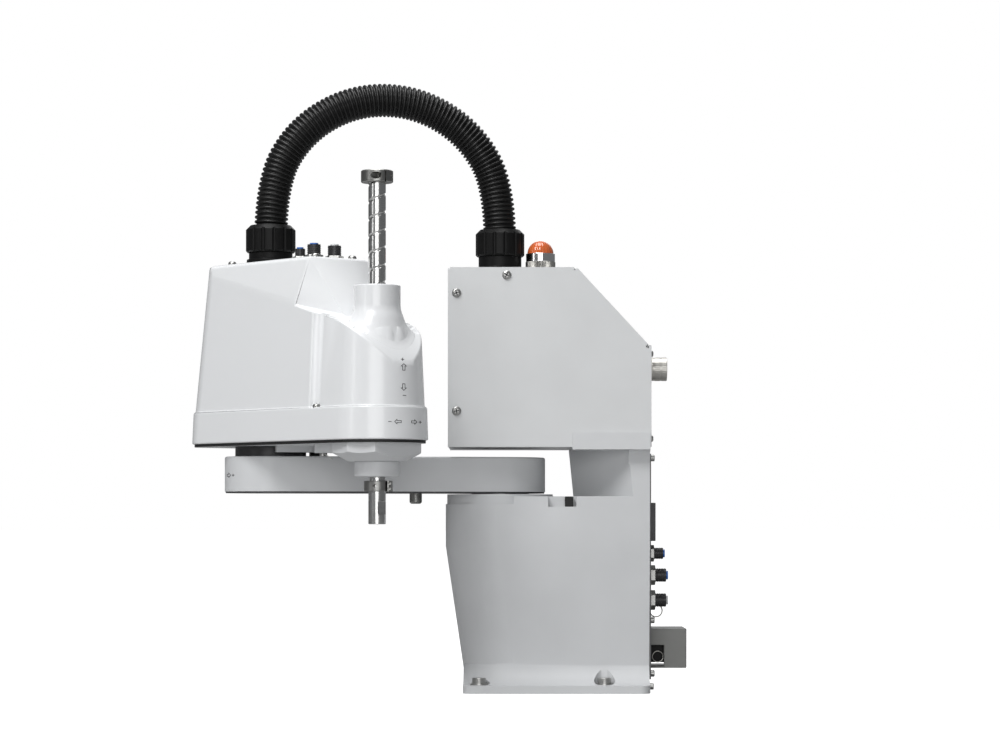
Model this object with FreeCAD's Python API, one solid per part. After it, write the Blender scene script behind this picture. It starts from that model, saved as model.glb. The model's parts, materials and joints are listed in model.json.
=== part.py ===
import FreeCAD, Part
import math
import os

# A small four-axis SCARA robot with its controller built into the base.
# Row frame in millimetres: origin on the first axis in the mounting plane, +Z up,
# the arm points along -X when both arm joints are straight, connectors face +X.

Vector = FreeCAD.Vector
UP = Vector(0, 0, 1)

# Reach, travel and the pose the robot is stored in
ARM1_LENGTH = 225.0
ARM2_LENGTH = 175.0
STROKE = 150.0
J1_LIMIT = 132.0
J2_LIMIT = 141.0
REST_J1 = 11.6
REST_J2 = 116.4
RUNNING = 0.05
FACE_GAP = 0.3

# Foot and pedestal casting
FOOT_FRONT = -35.4
REAR = 143.3
FOOT_HALF = 80.0
FOOT_THICK = 7.5
FOOT_CORNER = 10.0
BOLT_CENTRE_X = 40.0
BOLT_SPACING = 120.0
BOLT_HOLE_R = 4.5
SPOT_FACE_R = 10.0
SKIRT_R = 25.0
TOE_TOP = 20.0
KNEE = 140.0
LEDGE = 180.8
DECK = 188.0
DECK_FRONT = 13.0
LOW_HALF = 48.0
HIGH_HALF = 62.0
NOSE_FRONT = -52.9
FLANK_START = 80.0
FLOOR_THICK = 12.0
CASTING_WALL = 8.0

# Column behind the arm, and the cradle that carries the controller box
SLOT_BOTTOM_OFFSET = 53.7
SLOT_TOP_OFFSET = 49.9
CRADLE_FLOOR = 232.6
CRADLE_DEPTH = 15.9
CRADLE_FRONT = 69.0
CRADLE_HALF = 76.0
BOX_SEAT = 2.4
CABLE_DUCT_FRONT = 98.0
CABLE_DUCT_REAR = 132.0
CABLE_DUCT_HALF = 20.0

# First-axis stops: a pin under the arm meets a rubber block in a pocket
STOP_PIN_RADIUS = 83.5
STOP_PIN_R = 6.0
STOP_PIN_LENGTH = 10.1
POCKET_FRONT = 46.0
POCKET_REAR = 73.0
POCKET_FLOOR = 178.0
POCKET_INNER = 52.0
STOP_BLOCK_REAR = 70.0

# First-axis drive
MOTOR_SIDE = 60.0
J1_MOTOR_BOTTOM = 70.0
J1_MOTOR_LENGTH = 76.0
J1_MOTOR_SHAFT_R = 7.0
REDUCER_R = 44.0
REDUCER_BOTTOM = 150.0
REDUCER_HEIGHT = 22.0
REDUCER_BORE_R = 14.0
OUTPUT_R = 28.0
BEARING_COVER_R = 51.5
BEARING_COVER_TOP = 190.2

# First arm
ARM1_R = 44.0
ARM1_BOTTOM = 191.1
ARM1_PLATE = 1.4
ARM1_TOP = 226.0
ARM1_EDGE = 2.0
ARM1_WALL = 6.0
ARM1_ROOF = 7.0
ARM1_RIB = 5.0
HUB_CLEAR = 46.0

# Second-axis drive, between the arms
J2_FLANGE_R = 34.0
GASKET_BOTTOM = 235.6
GASKET_INSET = 2.2
COVER_BOTTOM = 238.3
J2_PIVOT_R = 14.0
J2_STOP_RADIUS = 46.0
J2_STOP_LENGTH = 15.5
J2_STOP_WIDTH = 14.0
J2_STOP_HEIGHT = 6.8
J2_LUG_DEPTH = 6.0

# Second arm: plan outlines of the cover as (behind second axis, half width, corner, nose radius)
BAND_LOW = (78.5, 55.0, 35.0, 46.9)
BAND_HIGH = (77.5, 54.0, 35.0, 45.9)
BODY_LOW = (75.0, 52.5, 33.0, 43.7)
BODY_HIGH = (58.7, 44.4, 28.0, 37.3)
BAND_TOP = 268.6
COVER_TOP = 410.0
COVER_WALL = 3.0
SHOULDER_REAR_Z = 400.0
SHOULDER_BEND = (-25.0, 398.0)
SHOULDER_FRONT = (163.0, 348.6)
SHOULDER_MID = (199.0, 331.5)
SHOULDER_END = (220.0, 298.0)
SHOULDER_RUN_OUT = 20.0
SHOULDER_LOW_HALF = 44.3
SHOULDER_LOW_Z = 391.7
BROW_HALF_REAR = 41.2
BROW_FRONT = 113.0
BROW_HALF = 33.8
FACET_SIDE = (102.0, 41.9, 366.0)
FACET_FRONT = (145.0, 15.0, 353.3)
CHIMNEY_R = 21.5
CHIMNEY_TOP = 380.5
CHIMNEY_ROOT_Z = 362.0
CHIMNEY_BORE_R = 17.5
FLARE_MID = (22.8, 355.0)
FLARE_TURN = (26.0, 348.5)
FLARE_FOOT = (34.5, 337.5)
CHANNEL_U = 140.0
CHANNEL_R = 9.0
CHANNEL_OUT = 2.0

# Push-in fittings on the cover as (u, v, hole radius, height, hexagon, body radius, tube radius)
WHITE_FITTING = (98.0, 6.2, 4.0, 13.6, 15.0, 6.4, 3.0)
BLUE_FITTINGS = ((98.0, -17.0, 4.0, 13.6, 15.0, 6.4, 3.0), (75.0, -17.0, 3.2, 11.2, 12.0, 4.9, 2.0))

# Second arm casting under the cover
CAST_FLOOR_TOP = 246.0
CAST_INSET = 4.2
HUB_START_U = 122.0
HUB_BOTTOM = 227.2
HUB_R = 42.0
HUB_STEP = 38.0
HUB_RIB_HALF = 33.0
HUB_TIP_R = 26.5
HUB_TIP = 219.0
HUB_BORE_R = 19.5

# Quill: hollow shaft with two clamp collars
SHAFT_R = 8.0
SHAFT_BORE_R = 5.5
SHAFT_BOTTOM = 161.4
SHAFT_TOP = 485.5
UPPER_COLLAR_R = 14.75
UPPER_COLLAR_BOTTOM = 474.3
UPPER_SLIT_TURN = -56.0
LOWER_COLLAR_R = 12.2
LOWER_COLLAR_BOTTOM = 191.5
LOWER_COLLAR_TOP = 201.2
COLLAR_SLIT = 1.3
COLLAR_SCREW_R = 2.6
LOWER_SLIT_TURN = -46.0
LUG_R = 14.4
LUG_START = 8.6
LUG_HALF = 9.4
LUG_SCREW_X = 11.6
LUG_SCREW_STEP = 2.4
LUG_SCREW_R = 1.4
SET_SCREW_X = -1.8
SET_SCREW_R = 1.5
FLAT_DEPTH = 1.7
FLAT_BOTTOM = 170.5
FLAT_TOP = 182.1
FLAT_TURN = -45.0

# Nuts, bearings and the spline cover round the shaft
SPLINE_COVER_R = 20.7
SPLINE_COVER_BOTTOM = 204.8
SPLINE_NUT_R = 14.0
SPLINE_NUT_BOTTOM = 207.0
SPLINE_PULLEY_R = 20.0
SPLINE_PULLEY_BOTTOM = 249.0
SPLINE_PULLEY_HEIGHT = 12.0
BALL_NUT_R = 13.0
BALL_NUT_BOTTOM = 270.0
BALL_NUT_LENGTH = 48.0
NUT_PULLEY_R = 18.0
NUT_PULLEY_BOTTOM = 292.0
NUT_PULLEY_HEIGHT = 12.0
BEARING_BOTTOM = 222.0
BEARING_HEIGHT = 22.0

# Drive deck over the belts, motors and belts
DRIVE_PLATE_BOTTOM = 264.0
DRIVE_PLATE_THICK = 6.0
DRIVE_PLATE_REAR = 30.0
DRIVE_PLATE_HALF = 33.5
DRIVE_POST = 9.0
NUT_HOUSING_HEIGHT = 18.0
NUT_HOUSING_R = 19.0
Z_BRIDGE_BOTTOM = 306.0
Z_BRIDGE_THICK = 5.0
SMALL_MOTOR_SIDE = 40.0
SMALL_MOTOR_LENGTH = 56.0
SMALL_SHAFT_R = 4.0
U_MOTOR_AT = (52.0, 0.0)
Z_MOTOR_AT = (94.0, 0.0)
BRIDGE_LEG = 5.0
U_PULLEY_R = 10.0
Z_PULLEY_R = 12.0
BELT_THICK = 1.6
BELT_WIDTH = 9.0
J2_MOTOR_SIDE = 56.0
J2_MOTOR_TOP = 340.0
J2_REDUCER_R = 27.5
J2_REDUCER_TOP = 262.0

# Controller box
BOX_FRONT = -49.7
BOX_TOP = 406.3
BOX_SLOPE_TOP_X = 73.1
BOX_REAR = 142.0
BOX_SLOPE_END_Z = 332.0
BOX_HALF = 72.0
SHEET = 1.2
TRAY_DEPTH = 10.0
CORNER_RELIEF_R = 1.8
REAR_SHEET = 2.4
BOARD_THICK = 1.6
BOARD_X = 60.0

# Signal lamp on the box
LAMP_X = 39.5
LAMP_RING_R = 14.6
LAMP_RING_TOP = 417.0
LAMP_BEZEL_R = 14.1
LAMP_BEZEL_TOP = 425.0
LAMP_LENS_R = 12.9
LAMP_STEM_R = 10.8

# Conduit glands on both vertical axes and the hose between them
NUT_R = 23.8
NUT_BOTTOM = 422.0
NUT_TOP = 448.2
NUT_CHAMFER = 4.4
NUT_FLUTES = 14
NUT_FLUTE_R = 2.0
GLAND_R = 20.9
GLAND_FLANGE_R = 23.0
GLAND_FLANGE_HIGH = 5.4
GLAND_BORE_R = 12.0
HOSE_R = 16.1
HOSE_END_Z = 431.0
HOSE_BEND_Z = 489.9
HOSE_SHOULDER = (30.1, 541.8)
HOSE_CROWN = (82.4, 571.7)
HOSE_ARC_SHARE = 0.45

# Rear panel and what is fastened to it
PANEL_THICK = 2.0
PANEL_HALF = 44.0
PANEL_BOTTOM = 12.0
PANEL_TOP = 229.0
FITTING_Y = -20.0
SMALL_FITTING_Z = 133.0
MID_FITTING_Z = 111.9
LOW_FITTING_Z = 87.7
TEACH_Z = 312.5
TEACH_R = 11.4
TEACH_LENGTH = 15.5
TEACH_FLANGE = 30.0
IO_BOTTOM = 145.0
IO_TOP = 182.0
IO_HALF = 6.0
IO_PROUD = 5.2
IO_Y = -22.0
GUARD_BOTTOM = 22.3
GUARD_HEIGHT = 38.1
GUARD_DEPTH = 35.0
GUARD_LEFT = -30.0
GUARD_RIGHT = 34.0
GUARD_SHEET = 1.6
GUARD_WINDOW_X = 13.0
GUARD_WINDOW_TOP = 44.3
INLET_SIDE = -22.0
INLET_FACE = 2.0
INLET_DEPTH = 27.0
INLET_BOTTOM = 27.5
INLET_TOP = 47.5
SOCKET_DEPTH = 16.0

PANEL_FACE = REAR + PANEL_THICK
CRADLE_RIM = CRADLE_FLOOR + CRADLE_DEPTH
BOX_BOTTOM = CRADLE_FLOOR + BOX_SEAT
J1_MOTOR_TOP = J1_MOTOR_BOTTOM + J1_MOTOR_LENGTH
REDUCER_TOP = REDUCER_BOTTOM + REDUCER_HEIGHT
SPLINE_PULLEY_TOP = SPLINE_PULLEY_BOTTOM + SPLINE_PULLEY_HEIGHT
BALL_NUT_TOP = BALL_NUT_BOTTOM + BALL_NUT_LENGTH
NUT_PULLEY_TOP = NUT_PULLEY_BOTTOM + NUT_PULLEY_HEIGHT
BEARING_TOP = BEARING_BOTTOM + BEARING_HEIGHT
DRIVE_PLATE_TOP = DRIVE_PLATE_BOTTOM + DRIVE_PLATE_THICK
NUT_HOUSING_TOP = DRIVE_PLATE_TOP + NUT_HOUSING_HEIGHT
Z_BRIDGE_TOP = Z_BRIDGE_BOTTOM + Z_BRIDGE_THICK
GUARD_TOP = GUARD_BOTTOM + GUARD_HEIGHT
ARM_FITTINGS = (WHITE_FITTING,) + BLUE_FITTINGS
ARM1_TURN = 180.0 + REST_J1
ARM2_TURN = ARM1_TURN + REST_J2
J2_X = ARM1_LENGTH * math.cos(math.radians(ARM1_TURN))
J2_Y = ARM1_LENGTH * math.sin(math.radians(ARM1_TURN))

PARTS = {}


# Basic forms


def block(x0, x1, y0, y1, z0, z1):
    return Part.makeBox(x1 - x0, y1 - y0, z1 - z0, Vector(x0, y0, z0))


def rod(x, y, radius, z0, z1):
    return Part.makeCylinder(radius, z1 - z0, Vector(x, y, z0))


def ring(x, y, outer, inner, z0, z1):
    return rod(x, y, outer, z0, z1).cut(rod(x, y, inner, z0, z1))


def rod_x(x0, x1, y, z, radius):
    return Part.makeCylinder(radius, x1 - x0, Vector(x0, y, z), Vector(1, 0, 0))


def rod_y(x, y0, y1, z, radius):
    return Part.makeCylinder(radius, y1 - y0, Vector(x, y0, z), Vector(0, 1, 0))


def chamfered_rod(x, y, radius, z0, z1, low, high):
    points = [
        Vector(0, 0, z0),
        Vector(radius - low, 0, z0),
        Vector(radius, 0, z0 + low),
        Vector(radius, 0, z1 - high),
        Vector(radius - high, 0, z1),
        Vector(0, 0, z1),
    ]
    unique = [p for i, p in enumerate(points) if i == 0 or (p - points[i - 1]).Length > 1e-6]
    wire = Part.makePolygon(unique + [unique[0]])
    turned = Part.Face(wire).revolve(Vector(0, 0, 0), UP, 360)
    turned.translate(Vector(x, y, 0))
    return turned


def prism(points, z0, z1):
    wire = Part.makePolygon([Vector(x, y, z0) for x, y in points + points[:1]])
    return Part.Face(wire).extrude(Vector(0, 0, z1 - z0))


def hexagon(x, y, across_flats, z0, z1, turn=0.0):
    radius = across_flats / math.sqrt(3)
    corners = []
    for i in range(6):
        angle = math.radians(60 * i + turn)
        corners.append((x + radius * math.cos(angle), y + radius * math.sin(angle)))
    return prism(corners, z0, z1)


def stadium(length, radius, z0, z1):
    """A straight bar from (0, 0) to (length, 0) with round ends."""
    bar = block(0, length, -radius, radius, z0, z1)
    return bar.fuse([rod(0, 0, radius, z0, z1), rod(length, 0, radius, z0, z1)]).removeSplitter()


def mirror_y(shape):
    return shape.mirror(Vector(0, 0, 0), Vector(0, 1, 0))


def both_sides(shape):
    return [shape, mirror_y(shape)]


def fuse_all(first, others):
    return first.fuse(others).removeSplitter()


def keep_below(shape, point, normal, reach=600.0):
    """Cut away what lies on the outer side of a plane."""
    slab = Part.makeBox(2 * reach, 2 * reach, reach, Vector(-reach, -reach, 0))
    turn = FreeCAD.Rotation(UP, normal)
    slab.Placement = FreeCAD.Placement(point, turn)
    return shape.cut(slab)


def plane_normal(a, b, c, outward):
    normal = (b - a).cross(c - a)
    normal.normalize()
    if normal.dot(outward) < 0:
        normal = normal * -1
    return normal


def on_arm1(shape):
    shape.rotate(Vector(0, 0, 0), UP, ARM1_TURN)
    return shape


def on_arm2(shape):
    shape.rotate(Vector(0, 0, 0), UP, ARM2_TURN)
    shape.translate(Vector(J2_X, J2_Y, 0))
    return shape


def add(name, shape):
    if isinstance(shape, list):
        shape = Part.makeCompound(shape)
    PARTS[name] = shape


# Base casting


def pedestal_outline(front, half, nose_r, z):
    """Round nose, flanks that swell gently to the full width, straight rear."""
    nose_x = front + nose_r
    swell = half - nose_r
    run = FLANK_START - nose_x
    edges = []
    start = Vector(REAR, -half, z)
    flank = Vector(FLANK_START, -half, z)
    root = Vector(nose_x, -nose_r, z)
    if swell > 0:
        radius = (run * run + swell * swell) / (2 * swell)
        half_turn = math.asin(run / radius) / 2
        middle = Vector(
            FLANK_START - radius * math.sin(half_turn),
            -half + radius * (1 - math.cos(half_turn)),
            z,
        )
        low_side = Part.Arc(root, middle, flank).toShape()
        middle_high = Vector(middle.x, -middle.y, z)
        high_side = Part.Arc(Vector(FLANK_START, half, z), middle_high, Vector(nose_x, nose_r, z)).toShape()
    else:
        low_side = Part.makeLine(root, flank)
        high_side = Part.makeLine(Vector(FLANK_START, half, z), Vector(nose_x, nose_r, z))
    tip = Vector(front, 0, z)
    edges.append(Part.Arc(Vector(nose_x, nose_r, z), tip, root).toShape())
    edges.append(low_side)
    edges.append(Part.makeLine(flank, start))
    edges.append(Part.makeLine(start, Vector(REAR, half, z)))
    edges.append(Part.makeLine(Vector(REAR, half, z), Vector(FLANK_START, half, z)))
    edges.append(high_side)
    return Part.Wire(edges)


def bolt_places():
    places = []
    for x in (BOLT_CENTRE_X - BOLT_SPACING / 2, BOLT_CENTRE_X + BOLT_SPACING / 2):
        for y in (-BOLT_SPACING / 2, BOLT_SPACING / 2):
            places.append((x, y))
    return places


def foot_plate():
    plate = block(FOOT_FRONT, REAR, -FOOT_HALF, FOOT_HALF, 0, FOOT_THICK)
    corners = []
    for edge in plate.Edges:
        a, b = edge.Vertexes[0].Point, edge.Vertexes[1].Point
        if abs(a.x - b.x) < 1e-6 and abs(a.y - b.y) < 1e-6:
            corners.append(edge)
    return plate.makeFillet(FOOT_CORNER, corners)


def foot_skirt():
    """Hollow flare that runs from the foot up into the pedestal wall."""
    nose_x = FOOT_FRONT + LOW_HALF
    top = FOOT_THICK + SKIRT_R
    outer = LOW_HALF + SKIRT_R
    mid = SKIRT_R * (1 - math.sqrt(0.5))
    inner = LOW_HALF - 6.0

    def profile(x):
        a = Vector(x, inner, FOOT_THICK)
        b = Vector(x, outer, FOOT_THICK)
        c = Vector(x, LOW_HALF + mid, FOOT_THICK + mid)
        d = Vector(x, LOW_HALF, top)
        e = Vector(x, inner, top)
        edges = [
            Part.makeLine(a, b),
            Part.Arc(b, c, d).toShape(),
            Part.makeLine(d, e),
            Part.makeLine(e, a),
        ]
        return Part.Face(Part.Wire(edges))

    side = profile(nose_x).extrude(Vector(REAR - nose_x, 0, 0))
    front = profile(nose_x).revolve(Vector(nose_x, 0, 0), UP, 180)
    skirt = side.fuse([mirror_y(side), front])
    outline = block(FOOT_FRONT, REAR, -FOOT_HALF, FOOT_HALF, 0, top)
    return skirt.common(outline)


def wedge_side(offset):
    """Where a slot wall at this distance from the first axis meets the flank."""
    lean = math.radians(J1_LIMIT)
    return (offset - math.cos(lean) * HIGH_HALF) / math.sin(lean)


def column():
    """Wedge between deck and cradle, cut back so that the first arm can swing to its limit."""
    def wedge_wire(offset, z):
        apex = offset / math.sin(math.radians(J1_LIMIT))
        side_x = wedge_side(offset)
        points = [(apex, 0), (side_x, -HIGH_HALF), (REAR, -HIGH_HALF), (REAR, HIGH_HALF), (side_x, HIGH_HALF)]
        return Part.makePolygon([Vector(x, y, z) for x, y in points + points[:1]])

    return Part.makeLoft([wedge_wire(SLOT_BOTTOM_OFFSET, LEDGE), wedge_wire(SLOT_TOP_OFFSET, CRADLE_FLOOR)],
                         True, True)


def cradle_fillets():
    """Hollow rounds that widen the column's flanks to the cradle."""
    x = wedge_side(SLOT_TOP_OFFSET)
    width = CRADLE_HALF - HIGH_HALF
    inner = HIGH_HALF - FLOOR_THICK
    low, high = CRADLE_FLOOR - width, CRADLE_FLOOR + BOX_SEAT / 2
    bend = width * (1 - math.sqrt(0.5))
    root, lip = Vector(x, HIGH_HALF, low), Vector(x, CRADLE_HALF, CRADLE_FLOOR)
    edges = [
        Part.makeLine(Vector(x, inner, low), root),
        Part.Arc(root, Vector(x, HIGH_HALF + bend, CRADLE_FLOOR - bend), lip).toShape(),
        Part.makeLine(lip, Vector(x, CRADLE_HALF, high)),
        Part.makeLine(Vector(x, CRADLE_HALF, high), Vector(x, inner, high)),
        Part.makeLine(Vector(x, inner, high), Vector(x, inner, low)),
    ]
    return both_sides(Part.Face(Part.Wire(edges)).extrude(Vector(REAR - x, 0, 0)))


def base_casting():
    low_wire = pedestal_outline(FOOT_FRONT, LOW_HALF, LOW_HALF, TOE_TOP)
    high_wire = pedestal_outline(NOSE_FRONT, HIGH_HALF, abs(NOSE_FRONT), KNEE)
    toe = Part.Face(pedestal_outline(FOOT_FRONT, LOW_HALF, LOW_HALF, 0)).extrude(Vector(0, 0, TOE_TOP))
    waist = Part.makeLoft([low_wire, high_wire], True, True)
    head = Part.Face(high_wire).extrude(Vector(0, 0, LEDGE - KNEE))
    deck_outline = Part.Face(pedestal_outline(NOSE_FRONT, HIGH_HALF, abs(NOSE_FRONT), LEDGE))
    deck = deck_outline.extrude(Vector(0, 0, DECK - LEDGE))
    deck = deck.common(block(DECK_FRONT, REAR, -FOOT_HALF, FOOT_HALF, LEDGE, DECK))
    cradle = block(CRADLE_FRONT, REAR, -CRADLE_HALF, CRADLE_HALF, CRADLE_FLOOR, CRADLE_RIM)
    casting = foot_plate().fuse([foot_skirt(), toe, waist, head, deck, column(), cradle] + cradle_fillets())
    casting = casting.removeSplitter()

    inner_half = BOX_HALF + FACE_GAP
    cuts = [
        block(CRADLE_FRONT - 1, REAR + 1, -inner_half, inner_half, BOX_BOTTOM, CRADLE_RIM + 1),
        rod(0, 0, BEARING_COVER_R + FACE_GAP, LEDGE, DECK + 1),
        rod(0, 0, REDUCER_R + FACE_GAP, J1_MOTOR_TOP, LEDGE + 1),
    ]
    reach = MOTOR_SIDE / 2 + FACE_GAP
    cuts.append(block(-reach, reach, -reach, reach, J1_MOTOR_BOTTOM, J1_MOTOR_TOP))
    bay_front = MOTOR_SIDE / 2 + 2 * CASTING_WALL
    bay_half = LOW_HALF - CASTING_WALL
    cuts.append(block(bay_front, REAR + 1, -bay_half, bay_half, FLOOR_THICK, POCKET_FLOOR - CASTING_WALL))
    cuts.append(
        block(
            CABLE_DUCT_FRONT, CABLE_DUCT_REAR, -CABLE_DUCT_HALF, CABLE_DUCT_HALF,
            POCKET_FLOOR - CASTING_WALL - 1, CRADLE_RIM,
        )
    )
    for x, y in bolt_places():
        cuts.append(rod(x, y, BOLT_HOLE_R, -1, FOOT_THICK + 1))
        cuts.append(rod(x, y, SPOT_FACE_R, FOOT_THICK, FOOT_THICK + SKIRT_R))
    pocket = block(POCKET_FRONT, POCKET_REAR, POCKET_INNER, FOOT_HALF, POCKET_FLOOR, DECK + 1)
    cuts += both_sides(pocket)
    return casting.cut(cuts).removeSplitter()


def stop_blocks():
    """Rubber blocks whose front face stops the pin just past the first axis's limit."""
    limit = math.radians(J1_LIMIT)
    pin_x = -STOP_PIN_RADIUS * math.cos(limit)
    front = pin_x + STOP_PIN_R + FACE_GAP
    rubber = block(front, STOP_BLOCK_REAR, POCKET_INNER, HIGH_HALF - 0.5, POCKET_FLOOR, DECK - 0.2)
    return both_sides(rubber)


# First-axis drive


def square_motor(side, z0, z1, shaft_r, shaft_end):
    body = block(-side / 2, side / 2, -side / 2, side / 2, z0, z1)
    upright = [e for e in body.Edges if abs(e.Vertexes[0].Z - e.Vertexes[1].Z) > 1]
    body = body.makeChamfer(side * 0.08, upright)
    low, high = min(z1, shaft_end), max(z0, shaft_end)
    if shaft_end > z1:
        spindle = rod(0, 0, shaft_r, z1 - 1, shaft_end)
    else:
        spindle = rod(0, 0, shaft_r, low, z0 + 1)
    return body.fuse(spindle).removeSplitter()


def j1_output():
    """Turning flange that carries the first arm."""
    shank = rod(0, 0, OUTPUT_R, REDUCER_TOP + FACE_GAP, ARM1_BOTTOM + ARM1_PLATE)
    return shank


# First arm


def arm1_casting():
    top_start = ARM1_BOTTOM + ARM1_PLATE
    body = stadium(ARM1_LENGTH, ARM1_R, top_start, ARM1_TOP)
    rim = [e for e in body.Edges if all(abs(v.Z - ARM1_TOP) < 1e-6 for v in e.Vertexes)]
    body = body.makeFillet(ARM1_EDGE, rim)
    pocket_half = ARM1_R - ARM1_WALL
    roof = ARM1_TOP - ARM1_ROOF
    pocket = block(HUB_CLEAR, ARM1_LENGTH - HUB_CLEAR, -pocket_half, pocket_half, top_start - 1, roof)
    ribs = []
    span = ARM1_LENGTH - 2 * HUB_CLEAR
    for i in (1, 2):
        x = HUB_CLEAR + span * i / 3
        ribs.append(block(x - ARM1_RIB / 2, x + ARM1_RIB / 2, -ARM1_R + 1, ARM1_R - 1, top_start, roof))
    pin_seat = rod(STOP_PIN_RADIUS, 0, STOP_PIN_R + 4, top_start, roof)
    hollow = pocket.cut(ribs + [pin_seat])
    return on_arm1(body.cut(hollow).removeSplitter())


def arm1_bottom_cover():
    plate = stadium(ARM1_LENGTH, ARM1_R - 0.8, ARM1_BOTTOM, ARM1_BOTTOM + ARM1_PLATE)
    holes = [
        rod(0, 0, OUTPUT_R + FACE_GAP, ARM1_BOTTOM - 1, ARM1_TOP),
        rod(STOP_PIN_RADIUS, 0, STOP_PIN_R + FACE_GAP, ARM1_BOTTOM - 1, ARM1_TOP),
    ]
    return on_arm1(plate.cut(holes))


def j1_stop_pin():
    low = ARM1_BOTTOM - STOP_PIN_LENGTH
    return on_arm1(chamfered_rod(STOP_PIN_RADIUS, 0, STOP_PIN_R, low, ARM1_BOTTOM + ARM1_PLATE, 1.5, 0))


def j2_flange():
    """Black flange on the first arm with the pivot that the second arm turns on."""
    disc = rod(0, 0, J2_FLANGE_R, ARM1_TOP, GASKET_BOTTOM - FACE_GAP)
    pivot = rod(0, 0, J2_PIVOT_R, ARM1_TOP, J2_REDUCER_TOP - 4)
    shape = disc.fuse(pivot).removeSplitter()
    shape.translate(Vector(ARM1_LENGTH, 0, 0))
    return on_arm1(shape)


def j2_stop_block():
    centre = ARM1_LENGTH - J2_STOP_RADIUS
    half = J2_STOP_LENGTH / 2
    shape = block(centre - half, centre + half, -J2_STOP_WIDTH / 2, J2_STOP_WIDTH / 2,
                  ARM1_TOP, ARM1_TOP + J2_STOP_HEIGHT)
    return on_arm1(shape)


# Second arm outlines


def arm2_outline(size, z, inset=0.0):
    """Square-shouldered rear round the second axis, straight flanks, round front."""
    rear, half, corner, nose = [value - inset for value in size]
    centre = Vector(-rear + corner, half - corner, z)
    edge_end = Vector(-rear + corner, half, z)
    away = Vector(ARM2_LENGTH - edge_end.x, -edge_end.y, 0)
    lean = math.atan2(away.y, away.x) + math.asin(nose / away.Length)
    touch = Vector(ARM2_LENGTH - nose * math.sin(lean), nose * math.cos(lean), z)
    corner_mid = Vector(centre.x - corner * math.sqrt(0.5), centre.y + corner * math.sqrt(0.5), z)
    rear_end = Vector(-rear, half - corner, z)

    def low(point):
        return Vector(point.x, -point.y, z)

    edges = [
        Part.makeLine(low(rear_end), rear_end),
        Part.Arc(rear_end, corner_mid, edge_end).toShape(),
        Part.makeLine(edge_end, touch),
        Part.Arc(touch, Vector(ARM2_LENGTH + nose, 0, z), low(touch)).toShape(),
        Part.makeLine(low(touch), low(edge_end)),
        Part.Arc(low(edge_end), low(corner_mid), low(rear_end)).toShape(),
    ]
    return Part.Wire(edges)


def arm2_loft(low_size, low_z, high_size, high_z, inset=0.0):
    wires = [arm2_outline(low_size, low_z, inset), arm2_outline(high_size, high_z, inset)]
    return Part.makeLoft(wires, True, True)


def arm2_slab(size, z0, z1, inset=0.0):
    return Part.Face(arm2_outline(size, z0, inset)).extrude(Vector(0, 0, z1 - z0))


# Second arm cover: the moulded housing


def shoulder_space(inset):
    """Everything under the shoulder line that falls from the rear to the nose."""
    side = 2 * BAND_LOW[1]

    def at(pair):
        return Vector(pair[0] - inset * 0.4, -side, pair[1] - inset)

    low_z = COVER_BOTTOM - COVER_WALL
    back = -2 * BAND_LOW[0]
    rear = Vector(back, -side, SHOULDER_REAR_Z - inset)
    end = at(SHOULDER_END)
    tip = end.x + SHOULDER_RUN_OUT
    edges = [
        Part.makeLine(Vector(back, -side, low_z), rear),
        Part.makeLine(rear, at(SHOULDER_BEND)),
        Part.makeLine(at(SHOULDER_BEND), at(SHOULDER_FRONT)),
        Part.Arc(at(SHOULDER_FRONT), at(SHOULDER_MID), end).toShape(),
        Part.makeLine(end, Vector(tip, -side, end.z - 2 * SHOULDER_RUN_OUT)),
        Part.makeLine(Vector(tip, -side, end.z - 2 * SHOULDER_RUN_OUT), Vector(tip, -side, low_z)),
        Part.makeLine(Vector(tip, -side, low_z), Vector(back, -side, low_z)),
    ]
    return Part.Face(Part.Wire(edges)).extrude(Vector(0, 2 * side, 0))


def brow_space(inset):
    """The raised rear block: two leaning flanks, a front and two corner facets."""
    low_z = COVER_BOTTOM
    space = block(-100, ARM2_LENGTH, -90, 90, low_z, COVER_TOP - inset)
    top_rear = Vector(0, -BROW_HALF_REAR, COVER_TOP)
    top_front = Vector(BROW_FRONT, -BROW_HALF, COVER_TOP)
    low_rear = Vector(0, -SHOULDER_LOW_HALF, SHOULDER_LOW_Z)
    side_foot = Vector(FACET_SIDE[0], -FACET_SIDE[1], FACET_SIDE[2])
    front_foot = Vector(FACET_FRONT[0], -FACET_FRONT[1], FACET_FRONT[2])
    far_top = Vector(BROW_FRONT, BROW_HALF, COVER_TOP)
    flank = plane_normal(top_rear, top_front, low_rear, Vector(0, -1, 0))
    facet = plane_normal(top_front, side_foot, front_foot, Vector(1, -1, 0))
    front = plane_normal(top_front, far_top, front_foot, Vector(1, 0, 0))
    for point, normal in ((top_front, flank), (top_front, facet)):
        space = keep_below(space, point - normal * inset, normal)
        other = Vector(normal.x, -normal.y, normal.z)
        seat = Vector(point.x, -point.y, point.z)
        space = keep_below(space, seat - other * inset, other)
    return keep_below(space, top_front - front * inset, front)


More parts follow.
